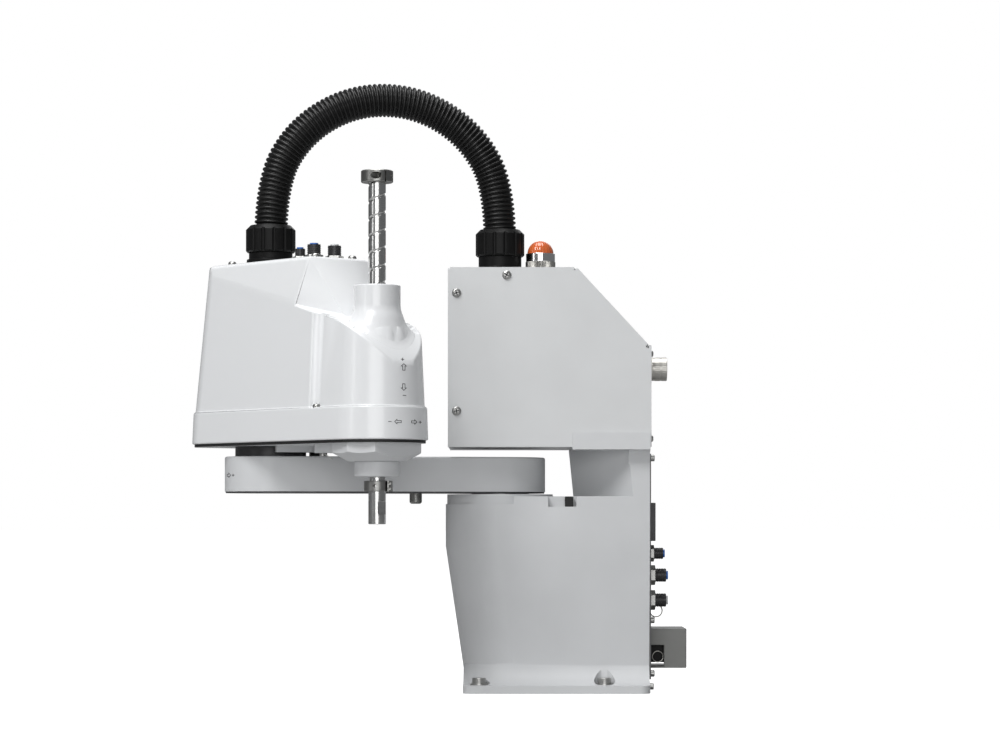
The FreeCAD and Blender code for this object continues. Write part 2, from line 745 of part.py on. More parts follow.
def chimney(inset):
    """Round neck over the shaft that flares into the shoulder."""
    z_low = COVER_BOTTOM + 40
    top = CHIMNEY_TOP if inset == 0 else CHIMNEY_ROOT_Z
    points = [Vector(CHIMNEY_R - inset, 0, top), Vector(CHIMNEY_R - inset, 0, CHIMNEY_ROOT_Z - inset)]
    mid = Vector(FLARE_MID[0] - inset, 0, FLARE_MID[1] - inset)
    turn = Vector(FLARE_TURN[0] - inset, 0, FLARE_TURN[1] - inset)
    foot = Vector(FLARE_FOOT[0] - inset, 0, FLARE_FOOT[1] - inset)
    edges = [
        Part.makeLine(Vector(0, 0, top), points[0]),
        Part.makeLine(points[0], points[1]),
        Part.Arc(points[1], mid, turn).toShape(),
        Part.makeLine(turn, foot),
        Part.makeLine(foot, Vector(foot.x, 0, z_low)),
        Part.makeLine(Vector(foot.x, 0, z_low), Vector(0, 0, z_low)),
        Part.makeLine(Vector(0, 0, z_low), Vector(0, 0, top)),
    ]
    turned = Part.Face(Part.Wire(edges)).revolve(Vector(0, 0, 0), UP, 360)
    turned.translate(Vector(ARM2_LENGTH, 0, 0))
    return turned


def cover_form(inset):
    """Outer form of the cover, or its hollow when the walls are taken off."""
    body = arm2_loft(BODY_LOW, BAND_TOP - inset, BODY_HIGH, COVER_TOP, inset)
    trunk = body.common(shoulder_space(inset))
    brow = body.common(brow_space(inset))
    band = arm2_loft(BAND_LOW, COVER_BOTTOM, BAND_HIGH, BAND_TOP - inset, inset)
    return trunk.fuse([brow, chimney(inset), band]).removeSplitter()


def flank_half(size, u):
    """Half width of an outline's straight flank at a place along the arm."""
    rear, half, corner, nose = size
    start = corner - rear
    run = ARM2_LENGTH - start
    lean = math.asin(nose / math.hypot(run, half)) - math.atan2(half, run)
    return half + math.tan(lean) * (u - start)


def channels(radius, foot):
    """Screw channels in both flanks, leaning with the wall they are sunk in."""
    low = Vector(CHANNEL_U, flank_half(BODY_LOW, CHANNEL_U) + CHANNEL_OUT, BAND_TOP)
    high = Vector(CHANNEL_U, flank_half(BODY_HIGH, CHANNEL_U) + CHANNEL_OUT, COVER_TOP)
    along = high - low
    reach = along.Length + 2 * radius
    along.normalize()
    groove = Part.makeCylinder(radius, reach, low - along * radius, along)
    around = block(CHANNEL_U - 2 * radius, CHANNEL_U + 2 * radius, 0, 2 * BAND_LOW[1], foot, COVER_TOP)
    return both_sides(groove.common(around))


def arm2_cover():
    outer = cover_form(0.0).cut(channels(CHANNEL_R, BAND_TOP))
    hollow = cover_form(COVER_WALL).cut(channels(CHANNEL_R + COVER_WALL, BAND_TOP - COVER_WALL))
    skirt = arm2_slab(BAND_LOW, COVER_BOTTOM - 1, COVER_BOTTOM + 1, COVER_WALL)
    bore = rod(ARM2_LENGTH, 0, CHIMNEY_BORE_R, CHIMNEY_ROOT_Z / 2 + COVER_BOTTOM / 2, CHIMNEY_TOP + 1)
    gland_hole = rod(0, 0, GLAND_BORE_R + FACE_GAP, COVER_TOP - 2 * COVER_WALL, COVER_TOP + 1)
    fitting_holes = [
        rod(u, v, r + FACE_GAP, COVER_TOP - 2 * COVER_WALL, COVER_TOP + 1) for u, v, r, *others in ARM_FITTINGS
    ]
    return on_arm2(outer.cut([hollow, skirt, bore, gland_hole] + fitting_holes))


def arm2_gasket():
    slab = arm2_slab(BAND_LOW, GASKET_BOTTOM, COVER_BOTTOM, GASKET_INSET)
    return on_arm2(slab.cut(arm2_slab(BAND_LOW, GASKET_BOTTOM - 1, COVER_BOTTOM + 1, CAST_INSET)))


def faceted_hub():
    """Boss under the nose: flat faces all round, their lower edges turned off to a cone."""
    corners = []
    for step in (1, 2, 3, 4, -4, -3, -2, -1):
        angle = math.radians(HUB_STEP * step)
        corners.append((ARM2_LENGTH + HUB_R * math.cos(angle), HUB_R * math.sin(angle)))
    faces = prism(corners, HUB_TIP, GASKET_BOTTOM)
    profile = [(0, HUB_TIP), (HUB_TIP_R, HUB_TIP), (HUB_R, HUB_BOTTOM), (HUB_R, GASKET_BOTTOM), (0, GASKET_BOTTOM)]
    wire = Part.makePolygon([Vector(r, 0, z) for r, z in profile + profile[:1]])
    turned = Part.Face(wire).revolve(Vector(0, 0, 0), UP, 360)
    turned.translate(Vector(ARM2_LENGTH, 0, 0))
    return faces.common(turned)


def arm2_casting():
    """Floor plate of the second arm with the hub, the rear pivot boss and the stop lug."""
    floor = arm2_slab(BAND_LOW, GASKET_BOTTOM, CAST_FLOOR_TOP, CAST_INSET)
    rib = block(HUB_START_U, ARM2_LENGTH, -HUB_RIB_HALF, HUB_RIB_HALF, HUB_BOTTOM, GASKET_BOTTOM)
    lug = ring(0, 0, J2_STOP_RADIUS + 7, J2_STOP_RADIUS - 7, GASKET_BOTTOM - J2_LUG_DEPTH, GASKET_BOTTOM)
    block_half = math.degrees(math.atan2(J2_STOP_WIDTH / 2, J2_STOP_RADIUS - J2_STOP_LENGTH / 2))
    lug_half = math.radians(180.0 - J2_LIMIT - block_half - 1.0)
    far = 2 * J2_STOP_RADIUS
    sector = prism([(0, 0), (far, -far * math.tan(lug_half)), (far, far * math.tan(lug_half))],
                   GASKET_BOTTOM - J2_LUG_DEPTH, GASKET_BOTTOM)
    body = floor.fuse([faceted_hub(), rib, lug.common(sector)]).removeSplitter()
    cuts = [
        rod(0, 0, J2_PIVOT_R + RUNNING, GASKET_BOTTOM - 1, CAST_FLOOR_TOP + 1),
        rod(ARM2_LENGTH, 0, HUB_BORE_R, HUB_TIP - 1, CAST_FLOOR_TOP + 1),
        rod(ARM2_LENGTH, 0, SPLINE_PULLEY_R + 2, BEARING_TOP, CAST_FLOOR_TOP + 1),
    ]
    return on_arm2(body.cut(cuts).removeSplitter())


def drive_plate():
    """Deck over the belts: carries the motors and houses the ball nut's bearing."""
    plate = block(DRIVE_PLATE_REAR, ARM2_LENGTH, -DRIVE_PLATE_HALF, DRIVE_PLATE_HALF,
                  DRIVE_PLATE_BOTTOM, DRIVE_PLATE_TOP)
    nose = rod(ARM2_LENGTH, 0, DRIVE_PLATE_HALF, DRIVE_PLATE_BOTTOM, DRIVE_PLATE_TOP)
    housing = rod(ARM2_LENGTH, 0, NUT_HOUSING_R, DRIVE_PLATE_TOP, NUT_HOUSING_TOP)
    posts = []
    edge = DRIVE_PLATE_HALF - DRIVE_POST / 2 - 2
    for u in (DRIVE_PLATE_REAR + DRIVE_POST / 2 + 2, ARM2_LENGTH):
        for v in (-edge, edge):
            posts.append(rod(u, v, DRIVE_POST / 2, CAST_FLOOR_TOP, DRIVE_PLATE_BOTTOM))
    body = plate.fuse([nose, housing] + posts).removeSplitter()
    cuts = [
        rod(ARM2_LENGTH, 0, BALL_NUT_R + RUNNING, BALL_NUT_BOTTOM - 1.5, NUT_HOUSING_TOP + 1),
        rod(ARM2_LENGTH, 0, SHAFT_R + 1, DRIVE_PLATE_BOTTOM - 1, NUT_HOUSING_TOP),
        rod(U_MOTOR_AT[0], U_MOTOR_AT[1], SMALL_SHAFT_R + 1, DRIVE_PLATE_BOTTOM - 1, DRIVE_PLATE_TOP + 1),
    ]
    return on_arm2(body.cut(cuts).removeSplitter())


def z_bridge():
    """Raised bracket that hangs the vertical-axis motor's pulley at the ball nut's height."""
    u, v = Z_MOTOR_AT
    half = SMALL_MOTOR_SIDE / 2
    wide = half + 2 + BRIDGE_LEG
    deck = block(u - half, u + half, -wide, wide, Z_BRIDGE_BOTTOM, Z_BRIDGE_TOP)
    legs = both_sides(block(u - half, u + half, half + 2, wide, DRIVE_PLATE_TOP, Z_BRIDGE_BOTTOM))
    body = fuse_all(deck, legs)
    return on_arm2(body.cut(rod(u, v, SMALL_SHAFT_R + 1, Z_BRIDGE_BOTTOM - 1, Z_BRIDGE_TOP + 1)))


def small_motor(at, foot, shaft_end):
    body = square_motor(SMALL_MOTOR_SIDE, foot, foot + SMALL_MOTOR_LENGTH, SMALL_SHAFT_R, shaft_end)
    body.translate(Vector(at[0], at[1], 0))
    return on_arm2(body)


def j2_motor():
    body = square_motor(J2_MOTOR_SIDE, J2_REDUCER_TOP, J2_MOTOR_TOP, SMALL_SHAFT_R, J2_MOTOR_TOP + 4)
    return on_arm2(body)


def j2_reducer():
    return on_arm2(ring(0, 0, J2_REDUCER_R, J2_PIVOT_R + RUNNING, CAST_FLOOR_TOP, J2_REDUCER_TOP))


def toothed_pulley(at, radius, bore, z0, z1):
    """Belt pulley with a flange above and below its rim."""
    rim = rod(at[0], at[1], radius - 1.0, z0, z1)
    low = rod(at[0], at[1], radius, z0, z0 + 1.2)
    high = rod(at[0], at[1], radius, z1 - 1.2, z1)
    body = rim.fuse([low, high]).removeSplitter()
    return body.cut(rod(at[0], at[1], bore, z0 - 1, z1 + 1))


def belt(at, radius, big_at, big_radius, z_mid):
    """Endless belt round two pulleys."""
    def loop(extra):
        r1, r2 = radius + extra, big_radius + extra
        a, b = Vector(at[0], at[1], 0), Vector(big_at[0], big_at[1], 0)
        away = b - a
        spread = math.asin((r2 - r1) / away.Length)
        base = math.atan2(away.y, away.x)
        hull = []
        for centre, r, side in ((a, r1, 1), (a, r1, -1), (b, r2, -1), (b, r2, 1)):
            angle = base + side * (math.pi / 2 + spread)
            hull.append((centre.x + r * math.cos(angle), centre.y + r * math.sin(angle)))
        low, high = z_mid - BELT_WIDTH / 2, z_mid + BELT_WIDTH / 2
        band = prism(hull, low, high)
        ends = [rod(a.x, a.y, r1, low, high), rod(b.x, b.y, r2, low, high)]
        return band.fuse(ends).removeSplitter()

    inner = -1.0 + FACE_GAP
    return on_arm2(loop(inner + BELT_THICK).cut(loop(inner)))


def spline_nut():
    axis = (ARM2_LENGTH, 0)
    body = rod(ARM2_LENGTH, 0, SPLINE_NUT_R, SPLINE_NUT_BOTTOM, SPLINE_PULLEY_BOTTOM + 2)
    pulley = toothed_pulley(axis, SPLINE_PULLEY_R, SHAFT_R, SPLINE_PULLEY_BOTTOM, SPLINE_PULLEY_TOP)
    bore = rod(ARM2_LENGTH, 0, SHAFT_R + RUNNING, SPLINE_NUT_BOTTOM - 1, SPLINE_PULLEY_TOP + 1)
    return on_arm2(body.fuse(pulley).removeSplitter().cut(bore))


def ball_nut():
    axis = (ARM2_LENGTH, 0)
    body = rod(ARM2_LENGTH, 0, BALL_NUT_R, BALL_NUT_BOTTOM, BALL_NUT_TOP)
    pulley = toothed_pulley(axis, NUT_PULLEY_R, SHAFT_R, NUT_PULLEY_BOTTOM, NUT_PULLEY_TOP)
    bore = rod(ARM2_LENGTH, 0, SHAFT_R + RUNNING, BALL_NUT_BOTTOM - 1, BALL_NUT_TOP + 1)
    return on_arm2(body.fuse(pulley).removeSplitter().cut(bore))


def spline_bearing():
    return on_arm2(ring(ARM2_LENGTH, 0, HUB_BORE_R, SPLINE_NUT_R + RUNNING, BEARING_BOTTOM, BEARING_TOP))


def spline_cover():
    """Turned cap under the hub with the hole the shaft runs through."""
    cap = chamfered_rod(ARM2_LENGTH, 0, SPLINE_COVER_R, SPLINE_COVER_BOTTOM, HUB_TIP, 1.0, 0)
    lip = rod(ARM2_LENGTH, 0, HUB_BORE_R, HUB_TIP, BEARING_BOTTOM)
    cap = cap.fuse(lip).removeSplitter()
    well = rod(ARM2_LENGTH, 0, SPLINE_NUT_R + 0.5, SPLINE_NUT_BOTTOM - 0.5, BEARING_BOTTOM + 1)
    mouth = rod(ARM2_LENGTH, 0, SHAFT_R + 0.6, SPLINE_COVER_BOTTOM - 1, BEARING_BOTTOM)
    return on_arm2(cap.cut([well, mouth]))


# Quill


def shaft():
    tube = chamfered_rod(ARM2_LENGTH, 0, SHAFT_R, SHAFT_BOTTOM, SHAFT_TOP, 0.8, 0.8)
    tube = tube.cut(rod(ARM2_LENGTH, 0, SHAFT_BORE_R, SHAFT_BOTTOM - 1, SHAFT_TOP + 1))
    turned = on_arm2(tube)
    centre = Vector(J2_X, J2_Y, 0) + arm2_direction() * ARM2_LENGTH
    flat = block(SHAFT_R - FLAT_DEPTH, SHAFT_R + 1, -SHAFT_R, SHAFT_R, FLAT_BOTTOM, FLAT_TOP)
    flat.rotate(Vector(0, 0, 0), UP, FLAT_TURN)
    flat.translate(centre)
    return turned.cut(flat)


def arm2_direction():
    angle = math.radians(ARM2_TURN)
    return Vector(math.cos(angle), math.sin(angle), 0)


def on_quill(shape):
    shape.translate(Vector(J2_X, J2_Y, 0) + arm2_direction() * ARM2_LENGTH)
    return shape


def collar_slit(radius, z0, z1, turn):
    slit = block(SHAFT_R - 2, radius + 1, -COLLAR_SLIT / 2, COLLAR_SLIT / 2, z0 - 1, z1 + 1)
    slit.rotate(Vector(0, 0, 0), UP, turn)
    return slit


def upper_collar():
    """Round split collar with the pocket of the screw that closes its slit."""
    z0, z1 = UPPER_COLLAR_BOTTOM, SHAFT_TOP
    body = chamfered_rod(0, 0, UPPER_COLLAR_R, z0, z1, 0.8, 0.8).cut(rod(0, 0, SHAFT_R, z0 - 1, z1 + 1))
    mid = (z0 + z1) / 2
    across = (SHAFT_R + UPPER_COLLAR_R) / 2 + 0.4
    pocket = rod_y(across, -UPPER_COLLAR_R, -COLLAR_SCREW_R - 1.5, mid, COLLAR_SCREW_R + 0.6)
    thread = rod_y(across, -UPPER_COLLAR_R, UPPER_COLLAR_R, mid, COLLAR_SCREW_R * 0.6)
    for hole in (pocket, thread):
        hole.rotate(Vector(0, 0, 0), UP, UPPER_SLIT_TURN)
    return on_quill(body.cut([collar_slit(UPPER_COLLAR_R, z0, z1, UPPER_SLIT_TURN), pocket, thread]))


def lower_collar():
    """Thin split collar with a lug beside the slit for its two clamp screws, and a set screw hole."""
    z0, z1 = LOWER_COLLAR_BOTTOM, LOWER_COLLAR_TOP
    mid = (z0 + z1) / 2
    lug = rod(0, 0, LUG_R, z0, z1).common(block(LUG_START, LUG_R + 1, -LUG_HALF, LUG_HALF, z0, z1))
    body = fuse_all(chamfered_rod(0, 0, LOWER_COLLAR_R, z0, z1, 0.6, 0.6), [lug])
    cuts = [
        rod(0, 0, SHAFT_R, z0 - 1, z1 + 1),
        collar_slit(LUG_R, z0, z1, LOWER_SLIT_TURN),
        rod_y(SET_SCREW_X, -LUG_R, -SHAFT_R / 2, mid, SET_SCREW_R),
    ]
    for z in (mid - LUG_SCREW_STEP, mid + LUG_SCREW_STEP):
        cuts.append(rod_y(LUG_SCREW_X, -LUG_R, -LUG_HALF / 4, z, LUG_SCREW_R))
    return on_quill(body.cut(cuts))


# Conduit


def gland(foot):
    """Flange, neck and the threaded seat that the nut screws on."""
    flange = rod(0, 0, GLAND_FLANGE_R, foot, foot + GLAND_FLANGE_HIGH)
    neck = rod(0, 0, GLAND_R, foot + GLAND_FLANGE_HIGH, NUT_BOTTOM)
    seat = rod(0, 0, HOSE_R + 2, NUT_BOTTOM, HOSE_END_Z - FACE_GAP)
    spigot = rod(0, 0, GLAND_BORE_R, foot - COVER_WALL, foot)
    body = flange.fuse([neck, seat, spigot]).removeSplitter()
    return body.cut(rod(0, 0, GLAND_BORE_R - 2, foot - COVER_WALL - 1, NUT_TOP))


def gland_nut():
    """Fluted cap nut round the hose end."""
    body = chamfered_rod(0, 0, NUT_R, NUT_BOTTOM, NUT_TOP, 1.5, NUT_CHAMFER)
    flutes = []
    for i in range(NUT_FLUTES):
        angle = 2 * math.pi * i / NUT_FLUTES
        reach = NUT_R + NUT_FLUTE_R * 0.35
        flutes.append(rod(reach * math.cos(angle), reach * math.sin(angle), NUT_FLUTE_R, NUT_BOTTOM - 1, NUT_TOP + 1))
    seat = rod(0, 0, HOSE_R + 2 + FACE_GAP, NUT_BOTTOM - 1, HOSE_END_Z)
    mouth = rod(0, 0, HOSE_R + FACE_GAP, NUT_BOTTOM, NUT_TOP + 1)
    return body.cut(flutes + [seat, mouth])


def hose_route():
    """Points of the conduit in the upright plane through both vertical axes."""
    half = [(0.0, HOSE_END_Z), (0.0, HOSE_BEND_Z), HOSE_SHOULDER, HOSE_CROWN]
    other = [(ARM1_LENGTH - a, z) for a, z in reversed(half)]
    return [Vector(a, 0, z) for a, z in half + other]


def rounded_path(points):
    """Straight runs joined by tangent arcs as large as the runs allow."""
    edges = []
    radii = []
    start = points[0]
    for i in range(1, len(points) - 1):
        before, corner, after = points[i - 1], points[i], points[i + 1]
        come, leave = corner - before, after - corner
        turn = come.getAngle(leave)
        trim = HOSE_ARC_SHARE * min(come.Length, leave.Length)
        radius = trim / math.tan(turn / 2)
        come.normalize()
        leave.normalize()
        enter, exit_point = corner - come * trim, corner + leave * trim
        inward = leave - come
        inward.normalize()
        rise = radius * (1 / math.cos(turn / 2) - 1)
        edges.append(Part.makeLine(start, enter))
        edges.append(Part.Arc(enter, corner + inward * rise, exit_point).toShape())
        radii.append(radius)
        start = exit_point
    edges.append(Part.makeLine(start, points[-1]))
    return Part.Wire(edges), radii


def conduit_hose():
    path, radii = rounded_path(hose_route())
    start = Part.Wire(Part.makeCircle(HOSE_R, path.Edges[0].Vertexes[0].Point, UP))
    tube = path.makePipeShell([start], True, True)
    length = path.Length
    share = tube.Volume / (math.pi * HOSE_R ** 2 * length)
    print("conduit length %.1f, arc radii %s, volume share %.4f"
          % (length, ", ".join("%.1f" % r for r in radii), share))
    return on_arm1(tube)


# Controller box


def box_outline():
    return [
        (BOX_FRONT, BOX_BOTTOM),
        (BOX_FRONT, BOX_TOP),
        (BOX_SLOPE_TOP_X, BOX_TOP),
        (BOX_REAR, BOX_SLOPE_END_Z),
        (BOX_REAR, BOX_BOTTOM),
    ]


def box_form(inset, y0, y1):
    points = [Vector(x, y0, z) for x, z in box_outline()]
    wire = Part.makePolygon(points + points[:1])
    if inset > 0:
        wire = wire.makeOffset2D(-inset, 2)
        if Part.Face(wire).Area > Part.Face(Part.makePolygon(points + points[:1])).Area:
            raise ValueError("outline grew instead of shrinking")
    return Part.Face(wire).extrude(Vector(0, y1 - y0, 0))


def controller_frame():
    """Folded sheet that makes the front, top, slope and floor, with a ledge for each side cover."""
    ledge = BOX_HALF - SHEET
    skin_half = BOX_HALF - TRAY_DEPTH - FACE_GAP
    skin = box_form(0, -skin_half, skin_half)
    inner = box_form(SHEET, -ledge, ledge)
    body = skin.fuse(inner).removeSplitter()
    body = body.cut(box_form(2 * SHEET, -BOX_HALF, BOX_HALF))
    holes = [
        rod(0, 0, GLAND_BORE_R + FACE_GAP, BOX_TOP - 3 * SHEET, BOX_TOP + 1),
        rod(LAMP_X, 0, LAMP_STEM_R + FACE_GAP, BOX_TOP - 3 * SHEET, BOX_TOP + 1),
        block(CABLE_DUCT_FRONT, CABLE_DUCT_REAR, -CABLE_DUCT_HALF, CABLE_DUCT_HALF,
              BOX_BOTTOM - 1, BOX_BOTTOM + 3 * SHEET),
    ]
    return body.cut(holes)


def side_cover():
    """Tray with turned-in edges and relief holes where the bends meet."""
    tray = box_form(0, BOX_HALF - TRAY_DEPTH, BOX_HALF)
    tray = tray.cut(box_form(SHEET, 0, BOX_HALF - SHEET))
    reliefs = []
    for x, z in ((BOX_FRONT, BOX_TOP), (BOX_SLOPE_TOP_X, BOX_TOP), (BOX_REAR, BOX_SLOPE_END_Z)):
        inward = -1 if x > BOX_FRONT + 1 else 1
        reliefs.append(rod_y(x + inward * 1.0, BOX_HALF - TRAY_DEPTH - 1, BOX_HALF + 1, z - 1.2, CORNER_RELIEF_R))
    return tray.cut(reliefs)


def circuit_board():
    """Upright control board on stand-offs over the floor, with its tall components."""
    low = BOX_BOTTOM + 2 * SHEET
    board = block(BOARD_X, BOARD_X + BOARD_THICK, -BOX_HALF + 12, BOX_HALF - 12, low, low + 110)
    parts = [board]
    for y, z, size in ((-40, 30, 18), (0, 50, 26), (34, 30, 16)):
        parts.append(block(BOARD_X - 12, BOARD_X, y - size / 2, y + size / 2, low + z, low + z + size))
    return fuse_all(parts[0], parts[1:])


def power_supply():
    low = BOX_BOTTOM + 2 * SHEET
    return block(BOX_FRONT + 2 * SHEET, BOARD_X - 30, -BOX_HALF + 8, BOX_HALF - 8, low, low + 60)


# Rear connectors


def rear_panel():
    plate = block(REAR, PANEL_FACE, -PANEL_HALF, PANEL_HALF, PANEL_BOTTOM, PANEL_TOP)
    return plate


def hex_x(x0, x1, y, z, across_flats):
    radius = across_flats / math.sqrt(3)
    points = []
    for i in range(7):
        angle = math.radians(60 * i)
        points.append(Vector(x0, y + radius * math.sin(angle), z + radius * math.cos(angle)))
    return Part.Face(Part.makePolygon(points)).extrude(Vector(x1 - x0, 0, 0))


def panel_fitting(z, flats, nut, body_r, body, bore):
    """Bulkhead push-in fitting: hexagon, round body and the tube hole."""
    x0 = PANEL_FACE
    shape = hex_x(x0, x0 + nut, FITTING_Y, z, flats).fuse(rod_x(x0 + nut, x0 + nut + body, FITTING_Y, z, body_r))
    shape = shape.removeSplitter()
    return shape.cut(rod_x(x0 + nut, x0 + nut + body + 1, FITTING_Y, z, bore))


def panel_collet(z, nut, body, proud, outer, inner):
    """Release ring that is pushed in to free the tube."""
    x0 = PANEL_FACE + nut
    inside = outer - 0.05
    stem = rod_x(x0 + 3.0, x0 + body + proud, FITTING_Y, z, inside)
    return stem.cut(rod_x(x0 - 1, x0 + body + proud + 1, FITTING_Y, z, inner))


def top_fitting(place):
    u, v, bore, height, flats, body_r, tube_r = place
    foot = 2.6
    body = rod(u, v, body_r, COVER_TOP + foot, COVER_TOP + height - 1.9)
    spigot = rod(u, v, bore, COVER_TOP - COVER_WALL, COVER_TOP)
    shape = hexagon(u, v, flats, COVER_TOP, COVER_TOP + foot).fuse([body, spigot]).removeSplitter()
    passage = rod(u, v, bore - 1.5, COVER_TOP - COVER_WALL - 1, COVER_TOP + foot)
    return on_arm2(shape.cut([rod(u, v, bore, COVER_TOP + foot - 1.5, COVER_TOP + height), passage]))


def top_collet(place):
    u, v, bore, height, flats, body_r, tube_r = place
    stem = rod(u, v, bore - RUNNING, COVER_TOP + 4.5, COVER_TOP + height)
    return on_arm2(stem.cut(rod(u, v, tube_r, COVER_TOP, COVER_TOP + height + 1)))


def teach_connector():
    x0 = BOX_REAR + REAR_SHEET
    half = TEACH_FLANGE / 2
    flange = block(x0, x0 + 2.8, -half, half, TEACH_Z - half, TEACH_Z + half)
    corners = [e for e in flange.Edges if abs(e.Vertexes[0].X - e.Vertexes[1].X) > 1]
    flange = flange.makeFillet(5.0, corners)
    barrel = rod_x(x0 + 2.8, x0 + 2.8 + TEACH_LENGTH, 0, TEACH_Z, TEACH_R)
    shell = flange.fuse(barrel).removeSplitter()
    return shell.cut(rod_x(x0 + 4.8, x0 + 20, 0, TEACH_Z, TEACH_R - 2.0))


def teach_insert():
    x0 = BOX_REAR + REAR_SHEET + 4.8
    return rod_x(x0, x0 + 7.5, 0, TEACH_Z, TEACH_R - 2.0)


def io_connector():
    shell = block(PANEL_FACE, PANEL_FACE + IO_PROUD, IO_Y - IO_HALF, IO_Y + IO_HALF, IO_BOTTOM, IO_TOP)
    return shell


def power_guard():
    """Folded guard over the power inlet, open at the far side where the plug goes in."""
    x0, x1 = PANEL_FACE, PANEL_FACE + GUARD_DEPTH
    shell = block(x0, x1, GUARD_LEFT, GUARD_RIGHT, GUARD_BOTTOM, GUARD_TOP)
    inside = block(x0 - 1, x1 - GUARD_SHEET, GUARD_LEFT + GUARD_SHEET, GUARD_RIGHT + 1,
                   GUARD_BOTTOM + GUARD_SHEET, GUARD_TOP - GUARD_SHEET)
    window = block(x0 - 1, x0 + GUARD_WINDOW_X, GUARD_LEFT - 1, GUARD_LEFT + GUARD_SHEET + 1,
                   GUARD_BOTTOM + GUARD_SHEET, GUARD_WINDOW_TOP)
    return shell.cut([inside, window])


def power_inlet():
    """Mains inlet lying on its side behind the guard, socket facing the open side."""
    x0 = PANEL_FACE
    body = block(x0, x0 + INLET_DEPTH, INLET_SIDE, INLET_FACE, INLET_BOTTOM, INLET_TOP)
    socket = block(x0 + 3, x0 + INLET_DEPTH - 3, INLET_FACE - SOCKET_DEPTH, INLET_FACE + 1,
                   INLET_BOTTOM + 2.5, INLET_TOP - 2.5)
    return body.cut(socket)


# Everything in its place

add("base_casting", base_casting())
add("rear_panel", rear_panel())
add("j1_stop_blocks", stop_blocks())
add("j1_motor", square_motor(MOTOR_SIDE, J1_MOTOR_BOTTOM, J1_MOTOR_TOP, J1_MOTOR_SHAFT_R, REDUCER_TOP - 2))
add("j1_reducer", ring(0, 0, REDUCER_R, REDUCER_BORE_R, REDUCER_BOTTOM, REDUCER_TOP))
add("j1_bearing_cover", ring(0, 0, BEARING_COVER_R, OUTPUT_R + RUNNING, LEDGE, BEARING_COVER_TOP))
add("controller_frame", controller_frame())
add("controller_cover_left", side_cover())
add("controller_cover_right", mirror_y(side_cover()))
add("controller_rear_plate", block(BOX_REAR, BOX_REAR + REAR_SHEET, -BOX_HALF, BOX_HALF, BOX_BOTTOM, BOX_SLOPE_END_Z))
add("control_board", circuit_board())
add("power_supply", power_supply())
add("signal_lamp_ring", fuse_all(rod(LAMP_X, 0, LAMP_RING_R, BOX_TOP, LAMP_RING_TOP),
                                 [rod(LAMP_X, 0, LAMP_STEM_R, BOX_TOP - 2 * SHEET, BOX_TOP)]))
add("signal_lamp_bezel", ring(LAMP_X, 0, LAMP_BEZEL_R, LAMP_BEZEL_R - 2.4, LAMP_RING_TOP, LAMP_BEZEL_TOP))
dome = Part.makeSphere(LAMP_LENS_R, Vector(LAMP_X, 0, LAMP_BEZEL_TOP))
dome = dome.common(block(LAMP_X - 20, LAMP_X + 20, -20, 20, LAMP_BEZEL_TOP, LAMP_BEZEL_TOP + 20))
add("signal_lamp_lens", dome)
add("conduit_gland_base", gland(BOX_TOP))
add("conduit_nut_base", gland_nut())
add("teach_connector_shell", teach_connector())
add("teach_connector_insert", teach_insert())
add("io_connector", io_connector())
add("base_fittings", [
    panel_fitting(SMALL_FITTING_Z, 14.0, 4.1, 5.6, 8.6, 3.9),
    panel_fitting(MID_FITTING_Z, 16.7, 5.2, 6.6, 10.4, 4.3),
    panel_fitting(LOW_FITTING_Z, 16.7, 5.2, 6.6, 10.4, 4.3),
])
add("base_collets_blue", [
    panel_collet(SMALL_FITTING_Z, 4.1, 8.6, 1.7, 3.9, 2.0),
    panel_collet(MID_FITTING_Z, 5.2, 10.4, 1.9, 4.3, 3.0),
])
add("base_collet_white", panel_collet(LOW_FITTING_Z, 5.2, 10.4, 1.9, 4.3, 3.0))
add("power_guard", power_guard())
add("power_inlet", power_inlet())

add("j1_output_flange", on_arm1(j1_output()))
add("arm1_casting", arm1_casting())
add("arm1_bottom_cover", arm1_bottom_cover())
add("j1_stop_pin", j1_stop_pin())
add("j2_flange", j2_flange())
add("j2_stop_block", j2_stop_block())
add("conduit_hose", conduit_hose())

add("arm2_casting", arm2_casting())
add("arm2_gasket", arm2_gasket())
add("arm2_cover", arm2_cover())
add("drive_plate", drive_plate())
add("z_motor_bridge", z_bridge())
add("j2_reducer", j2_reducer())
add("j2_motor", j2_motor())
add("u_motor", small_motor(U_MOTOR_AT, DRIVE_PLATE_TOP, SPLINE_PULLEY_BOTTOM))
add("z_motor", small_motor(Z_MOTOR_AT, Z_BRIDGE_TOP, NUT_PULLEY_BOTTOM))
u_mid = (SPLINE_PULLEY_BOTTOM + SPLINE_PULLEY_TOP) / 2
z_mid = (NUT_PULLEY_BOTTOM + NUT_PULLEY_TOP) / 2
add("u_belt", belt(U_MOTOR_AT, U_PULLEY_R, (ARM2_LENGTH, 0), SPLINE_PULLEY_R, u_mid))
add("z_belt", belt(Z_MOTOR_AT, Z_PULLEY_R, (ARM2_LENGTH, 0), NUT_PULLEY_R, z_mid))
add("u_motor_pulley", on_arm2(toothed_pulley(U_MOTOR_AT, U_PULLEY_R, SMALL_SHAFT_R + RUNNING,
                                             SPLINE_PULLEY_BOTTOM, SPLINE_PULLEY_TOP)))
add("z_motor_pulley", on_arm2(toothed_pulley(Z_MOTOR_AT, Z_PULLEY_R, SMALL_SHAFT_R + RUNNING,
                                             NUT_PULLEY_BOTTOM, NUT_PULLEY_TOP)))
add("spline_bearing", spline_bearing())
add("spline_cover", spline_cover())
arm_gland = gland(COVER_TOP)
add("conduit_gland_arm", on_arm2(arm_gland))
add("conduit_nut_arm", on_arm2(gland_nut()))
add("arm_fittings", [top_fitting(place) for place in ARM_FITTINGS])
add("arm_collets_blue", [top_collet(place) for place in BLUE_FITTINGS])
